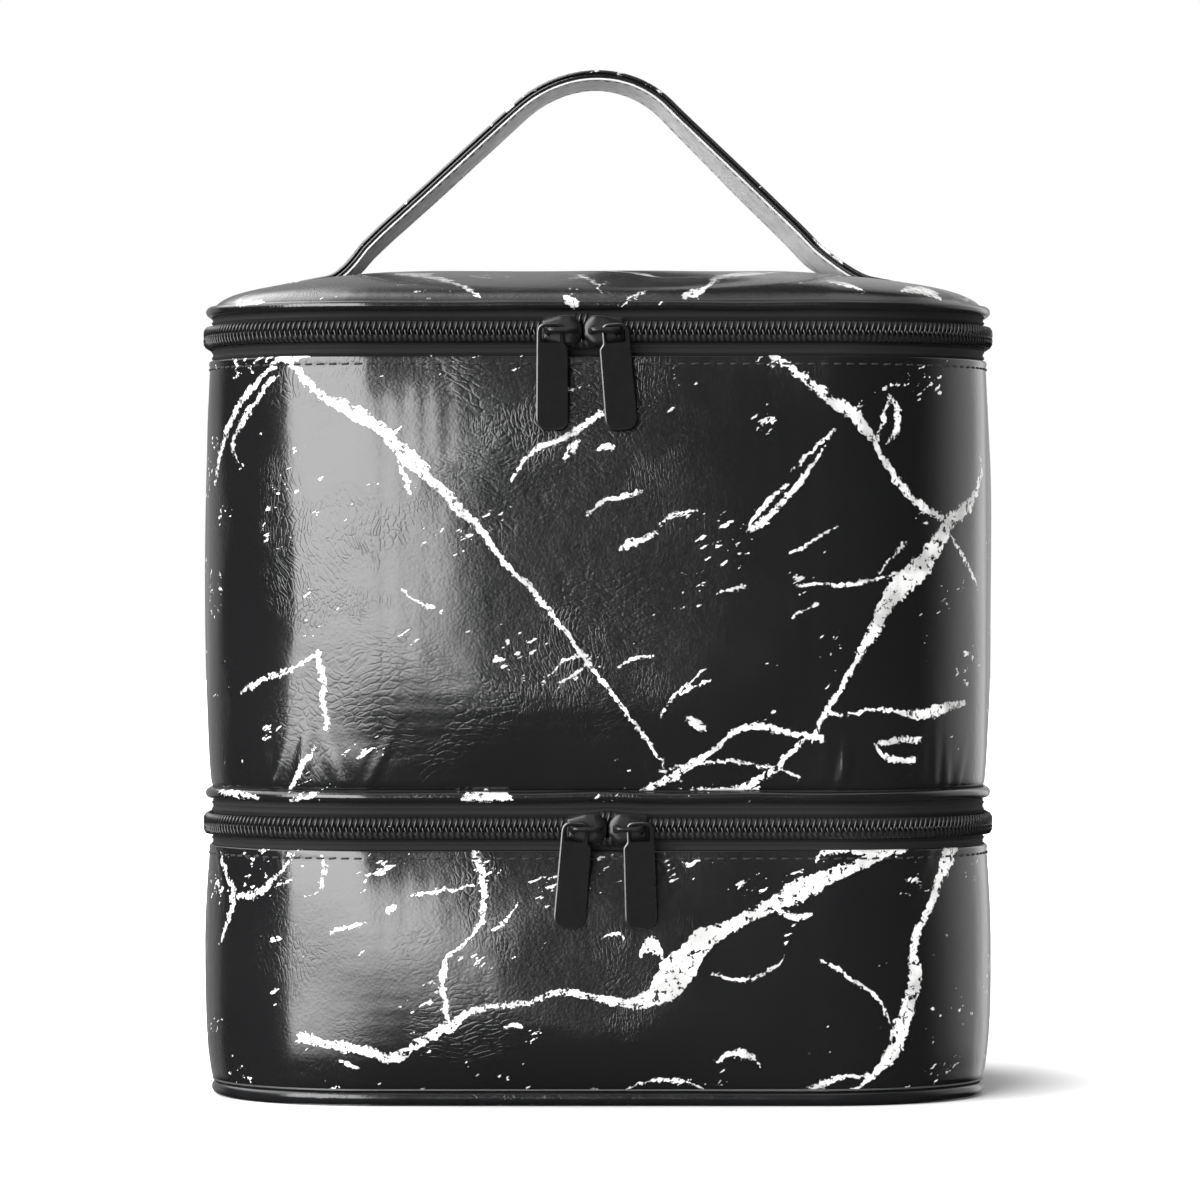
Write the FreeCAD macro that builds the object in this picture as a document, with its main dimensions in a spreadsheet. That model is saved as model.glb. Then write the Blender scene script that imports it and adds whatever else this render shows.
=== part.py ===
"""Makeup train case: two zipped compartments, a padded lid and a strap handle."""
import FreeCAD, Part
import math
import os
import re

import Sketcher

V = FreeCAD.Vector
NORMAL = V(0, 0, 1)

# Sizes in mm. "inset" counts inward from the outer face of the side panels,
# "front" counts forward from the middle of the case.
SIZES = {
    # outline of the case, seen from above
    "case_width": 232,
    "case_depth": 176,
    "corner_radius": 50,
    # layers of the walls
    "skin_inset": 1.2,
    "tape_inset": 1.9,
    "foam_inset": 5.2,
    "lining_inset": 5.9,
    "binding_inset": 6.7,
    "coil_proud": 1.4,
    # bottom of the lower case
    "base_panel_top": 1.2,
    "base_board_top": 4.6,
    "base_inset": 3.8,
    "base_foam_top": 7.6,
    "base_lining_top": 8.2,
    "base_piping_radius": 2.2,
    "base_piping_inset": 1.4,
    "base_piping_level": 2.4,
    # lower case and its zip
    "lower_tuck": 68.5,
    "lower_panel_top": 74.5,
    "lower_coil_low": 77.6,
    "lower_parting": 80.7,
    "lower_coil_high": 83.8,
    "parting_gap": 0.7,
    # bottom of the upper case
    "floor_panel_low": 88.2,
    "floor_board_low": 89.4,
    "upper_panel_low": 91.4,
    "floor_foam_top": 94.4,
    "floor_lining_top": 95,
    "upper_tuck_low": 97.4,
    "piping_radius": 1.6,
    "piping_inset": 0.6,
    "upper_piping_level": 89.8,
    # upper case and its zip
    "upper_tuck": 212,
    "upper_panel_top": 218,
    "upper_coil_low": 222,
    "upper_parting": 225,
    "upper_coil_high": 228.1,
    # lid
    "lid_binding_low": 230.4,
    "lid_lining_low": 231.4,
    "lid_low": 232,
    "lid_piping_level": 232.5,
    "lid_piping_radius": 1.5,
    "lid_tape_high": 233.4,
    "lid_foam_inset": 5,
    # hinge strips at the back, between the ends of the zips
    "hinge_strip_half": 66,
    "tape_end_half": 67,
    "coil_end_half": 84,
    # dividers of the upper case
    "divider_thickness": 6,
    "divider_top": 185,
    "divider_round": 2.5,
    "divider_spread": 38,
    "divider_gap": 0.3,
    "hook_strip": 0.9,
    "hook_strip_low": 100,
    "hook_strip_top": 180,
    # zip sliders; x is the middle of each
    "slider_half": 5.9,
    "slider_nose_half": 4.75,
    "slider_tail_half": 3.7,
    "blade": 1.2,
    "blade_front": 1.7,
    "blade_back": 3.4,
    "neck_length": 2.4,
    "neck_half": 0.45,
    "lip_low": 4.75,
    "lip_high": 3.5,
    "lip_back": 0.9,
    "crown_front": 6.4,
    "crown_radius": 0.7,
    "crown_post_radius": 0.65,
    "crown_post_at": 3.9,
    "crown_nose_at": 3.5,
    "upper_left_x": -10.5,
    "upper_right_x": 1.7,
    "lower_left_x": -3.3,
    "lower_right_x": 8.9,
    # pulls
    "pull_at": 2.75,
    "pull_thickness": 1.2,
    "pull_front": 4.2,
    "pull_eye_top": 2.2,
    "pull_eye_inner": 3.4,
    "pull_eye_outer": 4.5,
    "pull_hole_top": 1,
    "pull_hole_low": 3.5,
    "pull_hole_inner": 2.3,
    "pull_hole_outer": 3.3,
    "pull_plate_half": 4.5,
    "pull_low_half": 4.7,
    "pull_length": 28.8,
    "pull_shoulder": 5.2,
    "pull_corner": 3.4,
    "upper_left_tilt": 0,
    "upper_right_tilt": 5,
    "lower_left_tilt": -4.7,
    "lower_right_tilt": 1.9,
    # handle
    "strap_width": 26,
    "strap_skin": 0.9,
    "strap_core": 1.4,
    "strap_thickness": 3.2,
    "handle_top": 307.6,
    "handle_radius": 35,
    "handle_slope": 43,
    "handle_leg": 61,
    "tab_thickness": 2.2,
    "tab_width": 28,
}

# (inset, level, corner radius) of the lid's domed outer face, from its rim to its crown
DOME_OUTER = (
    (1.9, 232, 48.1),
    (3.2, 235.4, 46.8),
    (13, 239.6, 37),
    (24, 241.8, 26),
    (36, 243.6, 14),
    (50, 245.2, 6),
    (66, 246.2, 5),
    (80, 246.6, 4),
)
# the same for the face between the lid's leather and its foam
DOME_INNER = (
    (5, 232, 45),
    (6, 235.2, 44),
    (13, 238.3, 37),
    (24, 240.6, 26),
    (36, 242.4, 14),
    (50, 244, 6),
    (66, 245, 5),
    (80, 245.4, 4),
)

doc = FreeCAD.newDocument("TrainCase")
sheet = doc.addObject("Spreadsheet::Sheet", "Sizes")


def fill_sheet():
    cells = dict(SIZES)
    for name, table in (("outer", DOME_OUTER), ("inner", DOME_INNER)):
        for number, (inset, level, radius) in enumerate(table):
            cells[f"{name}_inset_{number}"] = inset
            cells[f"{name}_level_{number}"] = level
            cells[f"{name}_round_{number}"] = radius
    for row, (alias, value) in enumerate(cells.items(), start=1):
        sheet.set(f"A{row}", alias)
        sheet.set(f"B{row}", str(value))
        sheet.setAlias(f"B{row}", alias)
    doc.recompute()
    return re.compile(r"\b(" + "|".join(cells) + r")\b")


ALIASES = fill_sheet()


def bound(text):
    """An expression on the sheet's aliases, with the sheet's name before each."""
    return ALIASES.sub(r"Sizes.\1", text)


def value(text):
    return float(sheet.evalExpression(bound(text)))


def new_body(label):
    body = doc.addObject("PartDesign::Body", label)
    body.Label = label
    body.AllowCompound = True
    return body


def new_sketch(body, plane, height):
    """A sketch on one of the body's own planes, moved along that plane's normal."""
    sketch = body.newObject("Sketcher::SketchObject", f"{body.Name}_sketch")
    base = next(o for o in body.Origin.OriginFeatures if o.Role == plane)
    sketch.AttachmentSupport = [(base, "")]
    sketch.MapMode = "FlatFace"
    sketch.setExpression("AttachmentOffset.Base.z", bound(height))
    return sketch


def dimension(sketch, kind, place, text, *entities):
    index = sketch.addConstraint(Sketcher.Constraint(kind, *entities, value(text)))
    name = f"{place}_{index}"
    sketch.renameConstraint(index, name)
    sketch.setExpression(f"Constraints.{name}", bound(text))


def outline(sketch, inset, radius=None):
    """A rectangle with round corners, the given inset inside the case's outline."""
    half_x = f"case_width / 2 - ({inset})"
    half_y = f"case_depth / 2 - ({inset})"
    radius = radius or f"corner_radius - ({inset})"
    a, b, r = value(half_x), value(half_y), value(radius)
    middles = ((a - r, -b + r), (a - r, b - r), (-a + r, b - r), (-a + r, -b + r))
    starts = ((-a + r, -b), (a, -b + r), (a - r, b), (-a, b - r))
    ends = ((a - r, -b), (a, b - r), (-a + r, b), (-a, -b + r))
    first = len(sketch.Geometry)
    for side in range(4):
        sketch.addGeometry(Part.LineSegment(V(*starts[side], 0), V(*ends[side], 0)), False)
        circle = Part.Circle(V(*middles[side], 0), NORMAL, r)
        turn = (side - 1) * math.pi / 2
        sketch.addGeometry(Part.ArcOfCircle(circle, turn, turn + math.pi / 2), False)
    for edge in range(8):
        following = first + (edge + 1) % 8
        sketch.addConstraint(Sketcher.Constraint("Tangent", first + edge, 2, following, 1))
    for edge in (0, 4):
        sketch.addConstraint(Sketcher.Constraint("Horizontal", first + edge))
        sketch.addConstraint(Sketcher.Constraint("Vertical", first + edge + 2))
    for edge in (3, 5, 7):
        sketch.addConstraint(Sketcher.Constraint("Equal", first + 1, first + edge))
    dimension(sketch, "Radius", "corner", radius, first + 1)
    dimension(sketch, "DistanceY", "front", f"-({half_y})", -1, 1, first, 1)
    dimension(sketch, "DistanceY", "back", half_y, -1, 1, first + 4, 1)
    dimension(sketch, "DistanceX", "left", f"-({half_x})", -1, 1, first + 6, 1)
    dimension(sketch, "DistanceX", "right", half_x, -1, 1, first + 2, 1)


def polygon(sketch, corners):
    """A closed polygon whose corners are pairs of expressions."""
    first = len(sketch.Geometry)
    points = [V(value(x), value(y), 0) for x, y in corners]
    count = len(points)
    for n in range(count):
        sketch.addGeometry(Part.LineSegment(points[n], points[(n + 1) % count]), False)
    for n in range(count):
        following = first + (n + 1) % count
        sketch.addConstraint(Sketcher.Constraint("Coincident", first + n, 2, following, 1))
    for n, (x, y) in enumerate(corners):
        dimension(sketch, "DistanceX", "x", x, -1, 1, first + n, 1)
        dimension(sketch, "DistanceY", "y", y, -1, 1, first + n, 1)


def rectangle(sketch, low_x, high_x, low_y, high_y):
    polygon(sketch, ((low_x, low_y), (high_x, low_y), (high_x, high_y), (low_x, high_y)))


def disc(sketch, x, y, radius):
    index = len(sketch.Geometry)
    circle = Part.Circle(V(value(x), value(y), 0), NORMAL, value(radius))
    sketch.addGeometry(circle, False)
    dimension(sketch, "Radius", "radius", radius, index)
    dimension(sketch, "DistanceX", "x", x, -1, 1, index, 3)
    dimension(sketch, "DistanceY", "y", y, -1, 1, index, 3)


def feature(body, kind, sketch, length):
    made = body.newObject(f"PartDesign::{kind}", f"{body.Name}_{kind.lower()}")
    made.Profile = sketch
    made.setExpression("Length", bound(length))
    return made


def pad(body, sketch, length):
    return feature(body, "Pad", sketch, length)


def pocket(body, sketch, length):
    """Cuts the way the sketch's normal points."""
    cut = feature(body, "Pocket", sketch, length)
    cut.Reversed = True
    return cut


def ring(label, outer, inner, low, high, ends=None):
    """A wall round the case between two insets and two levels.

    ends is half the width of its opening at the back, if it has one.
    """
    body = new_body(label)
    sketch = new_sketch(body, "XY_Plane", low)
    outline(sketch, outer)
    outline(sketch, inner)
    pad(body, sketch, f"{high} - {low}")
    if ends:
        opening = new_sketch(body, "XY_Plane", f"{low} - 1")
        rectangle(opening, f"-{ends}", ends, "case_depth / 4", "case_depth")
        pocket(body, opening, f"{high} - {low} + 2")
    return body


def plate(label, inset, low, high):
    """A flat layer that fills the case's outline."""
    body = new_body(label)
    sketch = new_sketch(body, "XY_Plane", low)
    outline(sketch, inset)
    pad(body, sketch, f"{high} - {low}")
    return body


def piping(label, inset, level, radius, flat=None):
    """A covered cord round the case, flat behind where it is sewn to the tape."""
    body = new_body(label)
    path = new_sketch(body, "XY_Plane", level)
    outline(path, inset)
    section = new_sketch(body, "XZ_Plane", "0 * case_depth")
    disc(section, f"case_width / 2 - {inset}", level, radius)
    doc.recompute()
    sweep = body.newObject("PartDesign::AdditivePipe", f"{label}_sweep")
    sweep.Profile = section
    sweep.Spine = path
    if flat:
        back = new_sketch(body, "XY_Plane", f"{level} - 2 * {radius}")
        outline(back, flat)
        pocket(body, back, f"4 * {radius}")
    return body


def dome(body, table, kind):
    """One face of the lid, lofted through its level lines."""
    sections = []
    count = len(DOME_OUTER)
    for number in range(count):
        sketch = new_sketch(body, "XY_Plane", f"{table}_level_{number}")
        outline(sketch, f"{table}_inset_{number}", f"{table}_round_{number}")
        sections.append(sketch)
    doc.recompute()
    loft = body.newObject(f"PartDesign::{kind}Loft", f"{body.Name}_{table}")
    loft.Profile = sections[0]
    loft.Sections = sections[1:]
    loft.Ruled = True
    doc.recompute()


def block(label, spans, low, high, rounded=None):
    """Upright blocks; each span is low x, high x, low y, high y."""
    body = new_body(label)
    for span in spans:
        sketch = new_sketch(body, "XY_Plane", low)
        rectangle(sketch, *span)
        solid = pad(body, sketch, f"{high} - {low}")
    if rounded:
        doc.recompute()
        edges = enumerate(solid.Shape.Edges, start=1)
        top = [f"Edge{n}" for n, e in edges if e.BoundBox.ZMin > value(high) - 0.01]
        fillet = body.newObject("PartDesign::Fillet", f"{label}_fillet")
        fillet.Base = (solid, top)
        fillet.setExpression("Radius", bound(rounded))
    return body


def make_lower_case():
    plate("lower_base_panel", "base_inset", "0 * case_depth", "base_panel_top")
    piping("lower_base_piping", "base_piping_inset", "base_piping_level", "base_piping_radius")
    plate("lower_base_board", "base_inset", "base_panel_top", "base_board_top")
    plate("lower_floor_foam", "foam_inset", "base_board_top", "base_foam_top")
    plate("lower_floor_lining", "foam_inset", "base_foam_top", "base_lining_top")
    ring("lower_side_panel", "0 * skin_inset", "skin_inset", "base_board_top", "lower_panel_top")
    ring("lower_stiffener", "skin_inset", "tape_inset", "base_board_top", "lower_tuck")
    ring("lower_foam_wall", "tape_inset", "foam_inset", "base_board_top", "lower_tuck")
    ring("lower_wall_lining", "foam_inset", "lining_inset", "base_lining_top", "lower_tuck")
    ring("lower_rim_binding", "tape_inset", "binding_inset", "lower_tuck", "lower_panel_top")
    edge = "lower_parting - parting_gap"
    ring("lower_zip_tape_below", "skin_inset", "tape_inset", "lower_tuck", edge, "tape_end_half")
    ring("lower_zip_coil_below", "-coil_proud", "skin_inset", "lower_coil_low", edge, "coil_end_half")


def make_upper_case():
    edge = "(lower_parting + parting_gap)"
    ring("lower_zip_tape_above", "skin_inset", "tape_inset", edge, "upper_tuck_low", "tape_end_half")
    ring("lower_zip_coil_above", "-coil_proud", "skin_inset", edge, "lower_coil_high", "coil_end_half")
    piping("upper_base_piping", "piping_inset", "upper_piping_level", "piping_radius", "skin_inset")
    plate("upper_base_panel", "tape_inset", "floor_panel_low", "floor_board_low")
    plate("upper_base_board", "tape_inset", "floor_board_low", "upper_panel_low")
    plate("upper_floor_foam", "foam_inset", "upper_panel_low", "floor_foam_top")
    plate("upper_floor_lining", "foam_inset", "floor_foam_top", "floor_lining_top")
    ring("upper_side_panel", "0 * skin_inset", "skin_inset", "upper_panel_low", "upper_panel_top")
    ring("upper_stiffener", "skin_inset", "tape_inset", "upper_tuck_low", "upper_tuck")
    ring("upper_foam_wall", "tape_inset", "foam_inset", "upper_panel_low", "upper_tuck")
    ring("upper_wall_lining", "foam_inset", "lining_inset", "floor_lining_top", "upper_tuck")
    ring("upper_rim_binding", "tape_inset", "binding_inset", "upper_tuck", "upper_panel_top")
    edge = "upper_parting - parting_gap"
    ring("upper_zip_tape_below", "skin_inset", "tape_inset", "upper_tuck", edge, "tape_end_half")
    ring("upper_zip_coil_below", "-coil_proud", "skin_inset", "upper_coil_low", edge, "coil_end_half")


def make_dividers():
    """One long padded divider, three across it, and the hook strips on their ends."""
    low, high = "floor_lining_top", "divider_top"
    half = "divider_thickness / 2"
    end_x = "(case_width / 2 - lining_inset - hook_strip)"
    end_y = "(case_depth / 2 - lining_inset - hook_strip)"
    block("divider_long", ((f"-{end_x}", end_x, f"-{half}", half),), low, high, "divider_round")
    near = f"({half} + hook_strip)"
    crossings = (
        ("divider_front_left", "-divider_spread", f"-{end_y}", f"-{near}"),
        ("divider_front_right", "divider_spread", f"-{end_y}", f"-{near}"),
        ("divider_back", "0 * divider_spread", near, end_y),
    )
    strips = []
    for side in ("-", ""):
        ends = (f"{side}{end_x}", f"{side}({end_x} + hook_strip)")
        strips.append((*(reversed(ends) if side else ends), f"-{half}", half))
    for label, middle, low_y, high_y in crossings:
        span_x = (f"{middle} - {half}", f"{middle} + {half}")
        block(label, ((*span_x, low_y, high_y),), low, high, "divider_round")
        strips.append((*span_x, f"{low_y} - hook_strip", low_y))
        strips.append((*span_x, high_y, f"{high_y} + hook_strip"))
    block("divider_hook_strips", strips, "hook_strip_low", "hook_strip_top")


def make_lid():
    edge = "(upper_parting + parting_gap)"
    ring("upper_zip_tape_above", "skin_inset", "tape_inset", edge, "lid_tape_high", "tape_end_half")
    ring("upper_zip_coil_above", "-coil_proud", "skin_inset", edge, "upper_coil_high", "coil_end_half")
    piping("lid_piping", "piping_inset", "lid_piping_level", "lid_piping_radius", "skin_inset")
    ring("lid_rim_binding", "tape_inset", "binding_inset", "lid_binding_low", "lid_lining_low")
    plate("lid_lining", "tape_inset", "lid_lining_low", "lid_low")
    panel = new_body("lid_top_panel")
    dome(panel, "outer", "Additive")
    dome(panel, "inner", "Subtractive")
    dome(new_body("lid_foam"), "inner", "Additive")


def make_hinge_strips():
    """Leather strips at the back, sewn into the two walls that each one joins."""
    span = (
        "-hinge_strip_half",
        "hinge_strip_half",
        "case_depth / 2 - tape_inset",
        "case_depth / 2 - skin_inset",
    )
    block("case_hinge_strip", (span,), "lower_tuck", "upper_tuck_low")
    block("lid_hinge_strip", (span,), "upper_tuck", "lid_tape_high")


def make_slider(label, middle, level, way):
    """A slider: two blades joined at the nose, a lower lip, and an arched crown.

    way is -1 where the tail points to -X, and 1 where it points to +X.
    """
    body = new_body(label)
    nose = f"{middle} - {way} * slider_half"
    tail = f"{middle} + {way} * slider_half"
    neck = f"{nose} + {way} * neck_length"
    outer = "case_depth / 2 + blade_front"
    for front in (outer, "case_depth / 2 - blade_back"):
        sketch = new_sketch(body, "XZ_Plane", front)
        polygon(
            sketch,
            (
                (nose, f"{level} - slider_nose_half"),
                (tail, f"{level} - slider_tail_half"),
                (tail, f"{level} + slider_tail_half"),
                (nose, f"{level} + slider_nose_half"),
            ),
        )
        pad(body, sketch, "blade")
    joint = new_sketch(body, "XZ_Plane", "case_depth / 2 - blade_back + blade / 2")
    rectangle(joint, nose, neck, f"{level} - neck_half", f"{level} + neck_half")
    pad(body, joint, "blade_front + blade_back")
    lip = new_sketch(body, "XZ_Plane", "case_depth / 2 - lip_back")
    polygon(
        lip,
        (
            (nose, f"{level} - lip_low"),
            (tail, f"{level} - slider_tail_half"),
            (tail, f"{level} - lip_high"),
            (nose, f"{level} - lip_high"),
        ),
    )
    pad(body, lip, "blade_front + lip_back + blade / 2")
    for place in (f"{way} * crown_post_at", f"-({way}) * crown_nose_at"):
        post = new_sketch(body, "XZ_Plane", f"{outer} + blade / 2")
        disc(post, f"{middle} + {place}", level, "crown_post_radius")
        pad(body, post, "crown_front - blade_front - blade / 2")
    reach = "(crown_post_at + crown_nose_at)"
    start = "crown_post_at" if way < 0 else "crown_nose_at"
    bar = new_sketch(body, "YZ_Plane", f"{middle} - {start} - crown_post_radius")
    disc(bar, "-(case_depth / 2 + crown_front)", level, "crown_radius")
    pad(body, bar, f"{reach} + 2 * crown_post_radius")
    return body


def make_pull(label, middle, level, way, tilt):
    """A flat pull with an open eye round the crown's tail post, where it turns."""
    body = new_body(label)
    sketch = new_sketch(body, "XZ_Plane", "0 * pull_front")
    middle_line = "pull_at - crown_post_at"
    outer_side = (
        ("pull_eye_outer", "pull_eye_top"),
        ("pull_eye_outer", "-pull_hole_low"),
        ("pull_plate_half", "-pull_shoulder"),
        ("pull_low_half", "-pull_length + pull_corner"),
        ("pull_low_half - pull_corner", "-pull_length"),
    )
    inner_side = (("pull_eye_inner", "pull_eye_top"), ("pull_eye_inner", "-pull_hole_low"))
    inner_side += outer_side[2:]
    corners = [(f"{way} * ({middle_line} + {x})", z) for x, z in outer_side]
    corners += [(f"{way} * ({middle_line} - ({x}))", z) for x, z in reversed(inner_side)]
    polygon(sketch, corners)
    hole = [f"{way} * ({middle_line} + {x})" for x in ("pull_hole_outer", "-pull_hole_inner")]
    rectangle(sketch, *hole, "-pull_hole_low", "pull_hole_top")
    pad(body, sketch, "pull_thickness")
    body.setExpression("Placement.Base.x", bound(f"{middle} + ({way}) * crown_post_at"))
    body.setExpression("Placement.Base.y", bound("-(case_depth / 2 + pull_front)"))
    body.setExpression("Placement.Base.z", bound(level))
    body.setExpression("Placement.Rotation.Axis.y", "-1")
    body.setExpression("Placement.Rotation.Axis.z", "0")
    body.setExpression("Placement.Rotation.Angle", bound(tilt))
    return body


def make_zip_furniture():
    for level in ("upper", "lower"):
        for side, way in (("left", -1), ("right", 1)):
            place = f"{level}_{side}"
            parting = f"{level}_parting"
            make_slider(f"slider_{place}", f"{place}_x", parting, way)
            make_pull(f"pull_{place}", f"{place}_x", parting, way, f"{place}_tilt")


def strap_point(depth, along, side):
    """A point of the handle's strap, depth under its outer face and along its leg."""
    radius = f"(handle_radius - ({depth}))"
    x = f"{side} * ({radius} * sin(handle_slope) + {along} * cos(handle_slope))"
    z = (
        f"handle_top - handle_radius + {radius} * cos(handle_slope)"
        f" - {along} * sin(handle_slope)"
    )
    return x, z


def strap_layer(label, outer, inner):
    """A layer of the strap: an arc over the top and a straight leg on each side."""
    body = new_body(label)
    sketch = new_sketch(body, "XZ_Plane", "-strap_width / 2")
    middle = V(0, value("handle_top - handle_radius"), 0)
    half = math.radians(value("handle_slope"))
    corners = []
    for depth, side in ((outer, -1), (outer, 1), (inner, 1), (inner, -1)):
        corners.append([strap_point(depth, along, side) for along in ("0", "handle_leg")])
    places = [[V(value(x), value(z), 0) for x, z in pair] for pair in corners]
    for pair in places:
        sketch.addGeometry(Part.LineSegment(pair[0], pair[1]), False)
    for first, depth in ((0, outer), (2, inner)):
        circle = Part.Circle(middle, NORMAL, value(f"handle_radius - ({depth})"))
        arc = Part.ArcOfCircle(circle, math.pi / 2 - half, math.pi / 2 + half)
        sketch.addGeometry(arc, False)
    sketch.addGeometry(Part.LineSegment(places[1][1], places[2][1]), False)
    sketch.addGeometry(Part.LineSegment(places[3][1], places[0][1]), False)
    joints = (
        (4, 2, 0, 1),
        (4, 1, 1, 1),
        (5, 1, 2, 1),
        (5, 2, 3, 1),
        (1, 2, 6, 1),
        (6, 2, 2, 2),
        (3, 2, 7, 1),
        (7, 2, 0, 2),
    )
    for joint in joints:
        sketch.addConstraint(Sketcher.Constraint("Coincident", *joint))
    for line, pair in enumerate(corners):
        for end, (x, z) in enumerate(pair, start=1):
            dimension(sketch, "DistanceX", "x", x, -1, 1, line, end)
            dimension(sketch, "DistanceY", "z", z, -1, 1, line, end)
    dimension(sketch, "Radius", "outer", f"handle_radius - ({outer})", 4)
    dimension(sketch, "Radius", "inner", f"handle_radius - ({inner})", 5)
    pad(body, sketch, "strap_width")
    return body


def make_handle():
    strap_layer("handle_strap_top", "0 * strap_skin", "strap_skin")
    strap_layer("handle_strap_core", "strap_skin", "strap_skin + strap_core")
    strap_layer("handle_strap_lining", "strap_skin + strap_core", "strap_thickness")
    rise = "tab_thickness"
    for name, side in (("left", -1), ("right", 1)):
        edge = f"{side} * (case_width / 2 - outer_inset_4)"
        bend = f"{side} * (case_width / 2 - outer_inset_3)"
        tip = f"{side} * (case_width / 2 - outer_inset_3 + 5)"
        tip_level = "outer_level_3 - 5 * (outer_level_3 - outer_level_2) / (outer_inset_3 - outer_inset_2)"
        tab = new_body(f"handle_tab_{name}")
        sketch = new_sketch(tab, "XZ_Plane", "-tab_width / 2")
        polygon(
            sketch,
            (
                (edge, "outer_level_4"),
                (bend, "outer_level_3"),
                (tip, tip_level),
                (tip, f"{tip_level} + {rise}"),
                (bend, f"outer_level_3 + {rise}"),
                (edge, f"outer_level_4 + {rise}"),
            ),
        )
        pad(tab, sketch, "tab_width")
        flex = new_body(f"handle_flex_{name}")
        sketch = new_sketch(flex, "XZ_Plane", "-strap_width / 2")
        polygon(
            sketch,
            (
                (edge, "outer_level_4"),
                (edge, f"outer_level_4 + {rise}"),
                (f"{edge} - {side} * 6", "outer_level_4 + 4"),
                strap_point("0 * strap_skin", "handle_leg", side),
                strap_point("strap_thickness", "handle_leg", side),
                (f"{edge} - {side} * 11", "outer_level_4 + 2.4"),
            ),
        )
        pad(flex, sketch, "strap_width")


def write_parts():
    doc.recompute()
    os.makedirs("parts", exist_ok=True)
    for thing in doc.Objects:
        if "Invalid" in thing.State or "Error" in thing.State:
            raise RuntimeError(f"{thing.Name}: {thing.State}")
    bodies = [o for o in doc.Objects if o.TypeId == "PartDesign::Body"]
    for body in bodies:
        shape = body.Shape
        if shape.isNull() or not shape.isValid() or shape.Volume <= 0:
            raise RuntimeError(f"{body.Label}: bad shape")
    for body in bodies:
        body.Shape.exportStep(f"parts/{body.Label}.step")
        box = body.Shape.BoundBox
        low = (round(box.XMin, 1), round(box.YMin, 1), round(box.ZMin, 1))
        high = (round(box.XMax, 1), round(box.YMax, 1), round(box.ZMax, 1))
        print(body.Label, len(body.Shape.Solids), low, high, round(body.Shape.Volume))


make_lower_case()
make_upper_case()
make_dividers()
make_lid()
make_hinge_strips()
make_zip_furniture()
make_handle()
write_parts()
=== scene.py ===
import math
import random

import bmesh
import bpy
import numpy as np
from mathutils import Matrix, Vector


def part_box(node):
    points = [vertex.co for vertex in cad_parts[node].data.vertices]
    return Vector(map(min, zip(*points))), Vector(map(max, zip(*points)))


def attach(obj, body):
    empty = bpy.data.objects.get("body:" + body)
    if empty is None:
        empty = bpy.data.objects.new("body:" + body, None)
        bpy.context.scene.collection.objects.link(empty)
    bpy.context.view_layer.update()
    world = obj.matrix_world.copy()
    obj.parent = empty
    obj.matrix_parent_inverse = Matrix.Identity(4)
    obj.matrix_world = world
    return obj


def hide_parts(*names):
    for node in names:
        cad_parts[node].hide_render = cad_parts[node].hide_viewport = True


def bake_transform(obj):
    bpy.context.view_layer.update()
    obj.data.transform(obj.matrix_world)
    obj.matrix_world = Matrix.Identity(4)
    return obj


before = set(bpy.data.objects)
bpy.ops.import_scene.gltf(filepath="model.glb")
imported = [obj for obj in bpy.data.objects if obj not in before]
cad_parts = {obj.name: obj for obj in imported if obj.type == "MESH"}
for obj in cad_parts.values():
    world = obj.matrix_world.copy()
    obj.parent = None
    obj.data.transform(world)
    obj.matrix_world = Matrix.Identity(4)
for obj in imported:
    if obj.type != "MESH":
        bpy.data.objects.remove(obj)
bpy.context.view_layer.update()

# ---------------------------------------------------------------- sizes, in millimetres
MM = 0.001
GAP = 0.7
LOWER_PARTING = 80.7
UPPER_PARTING = 225.0
COIL_PITCH = 1.7
STITCH_PITCH = 3.75
STITCH_STEPS = np.array((-1, -0.7, 0, 0.7, 1.0))
ZIP_END = 83.0
TAPE_END = 67.0
HINGE_HALF = 66.8


def mm_box(node):
    """The low and high corner of a CAD node, in millimetres."""
    low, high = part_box(node)
    return np.array(low) / MM, np.array(high) / MM


HALF_X, HALF_Y = mm_box("upper_side_panel")[1][:2]
ROUND = 50.0
LINE_X, LINE_Y = HALF_X - ROUND, HALF_Y - ROUND
ARC = math.pi * ROUND / 2
AROUND = 4 * (LINE_X + LINE_Y + ARC)

# ---------------------------------------------------------------- the case's outline


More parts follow.
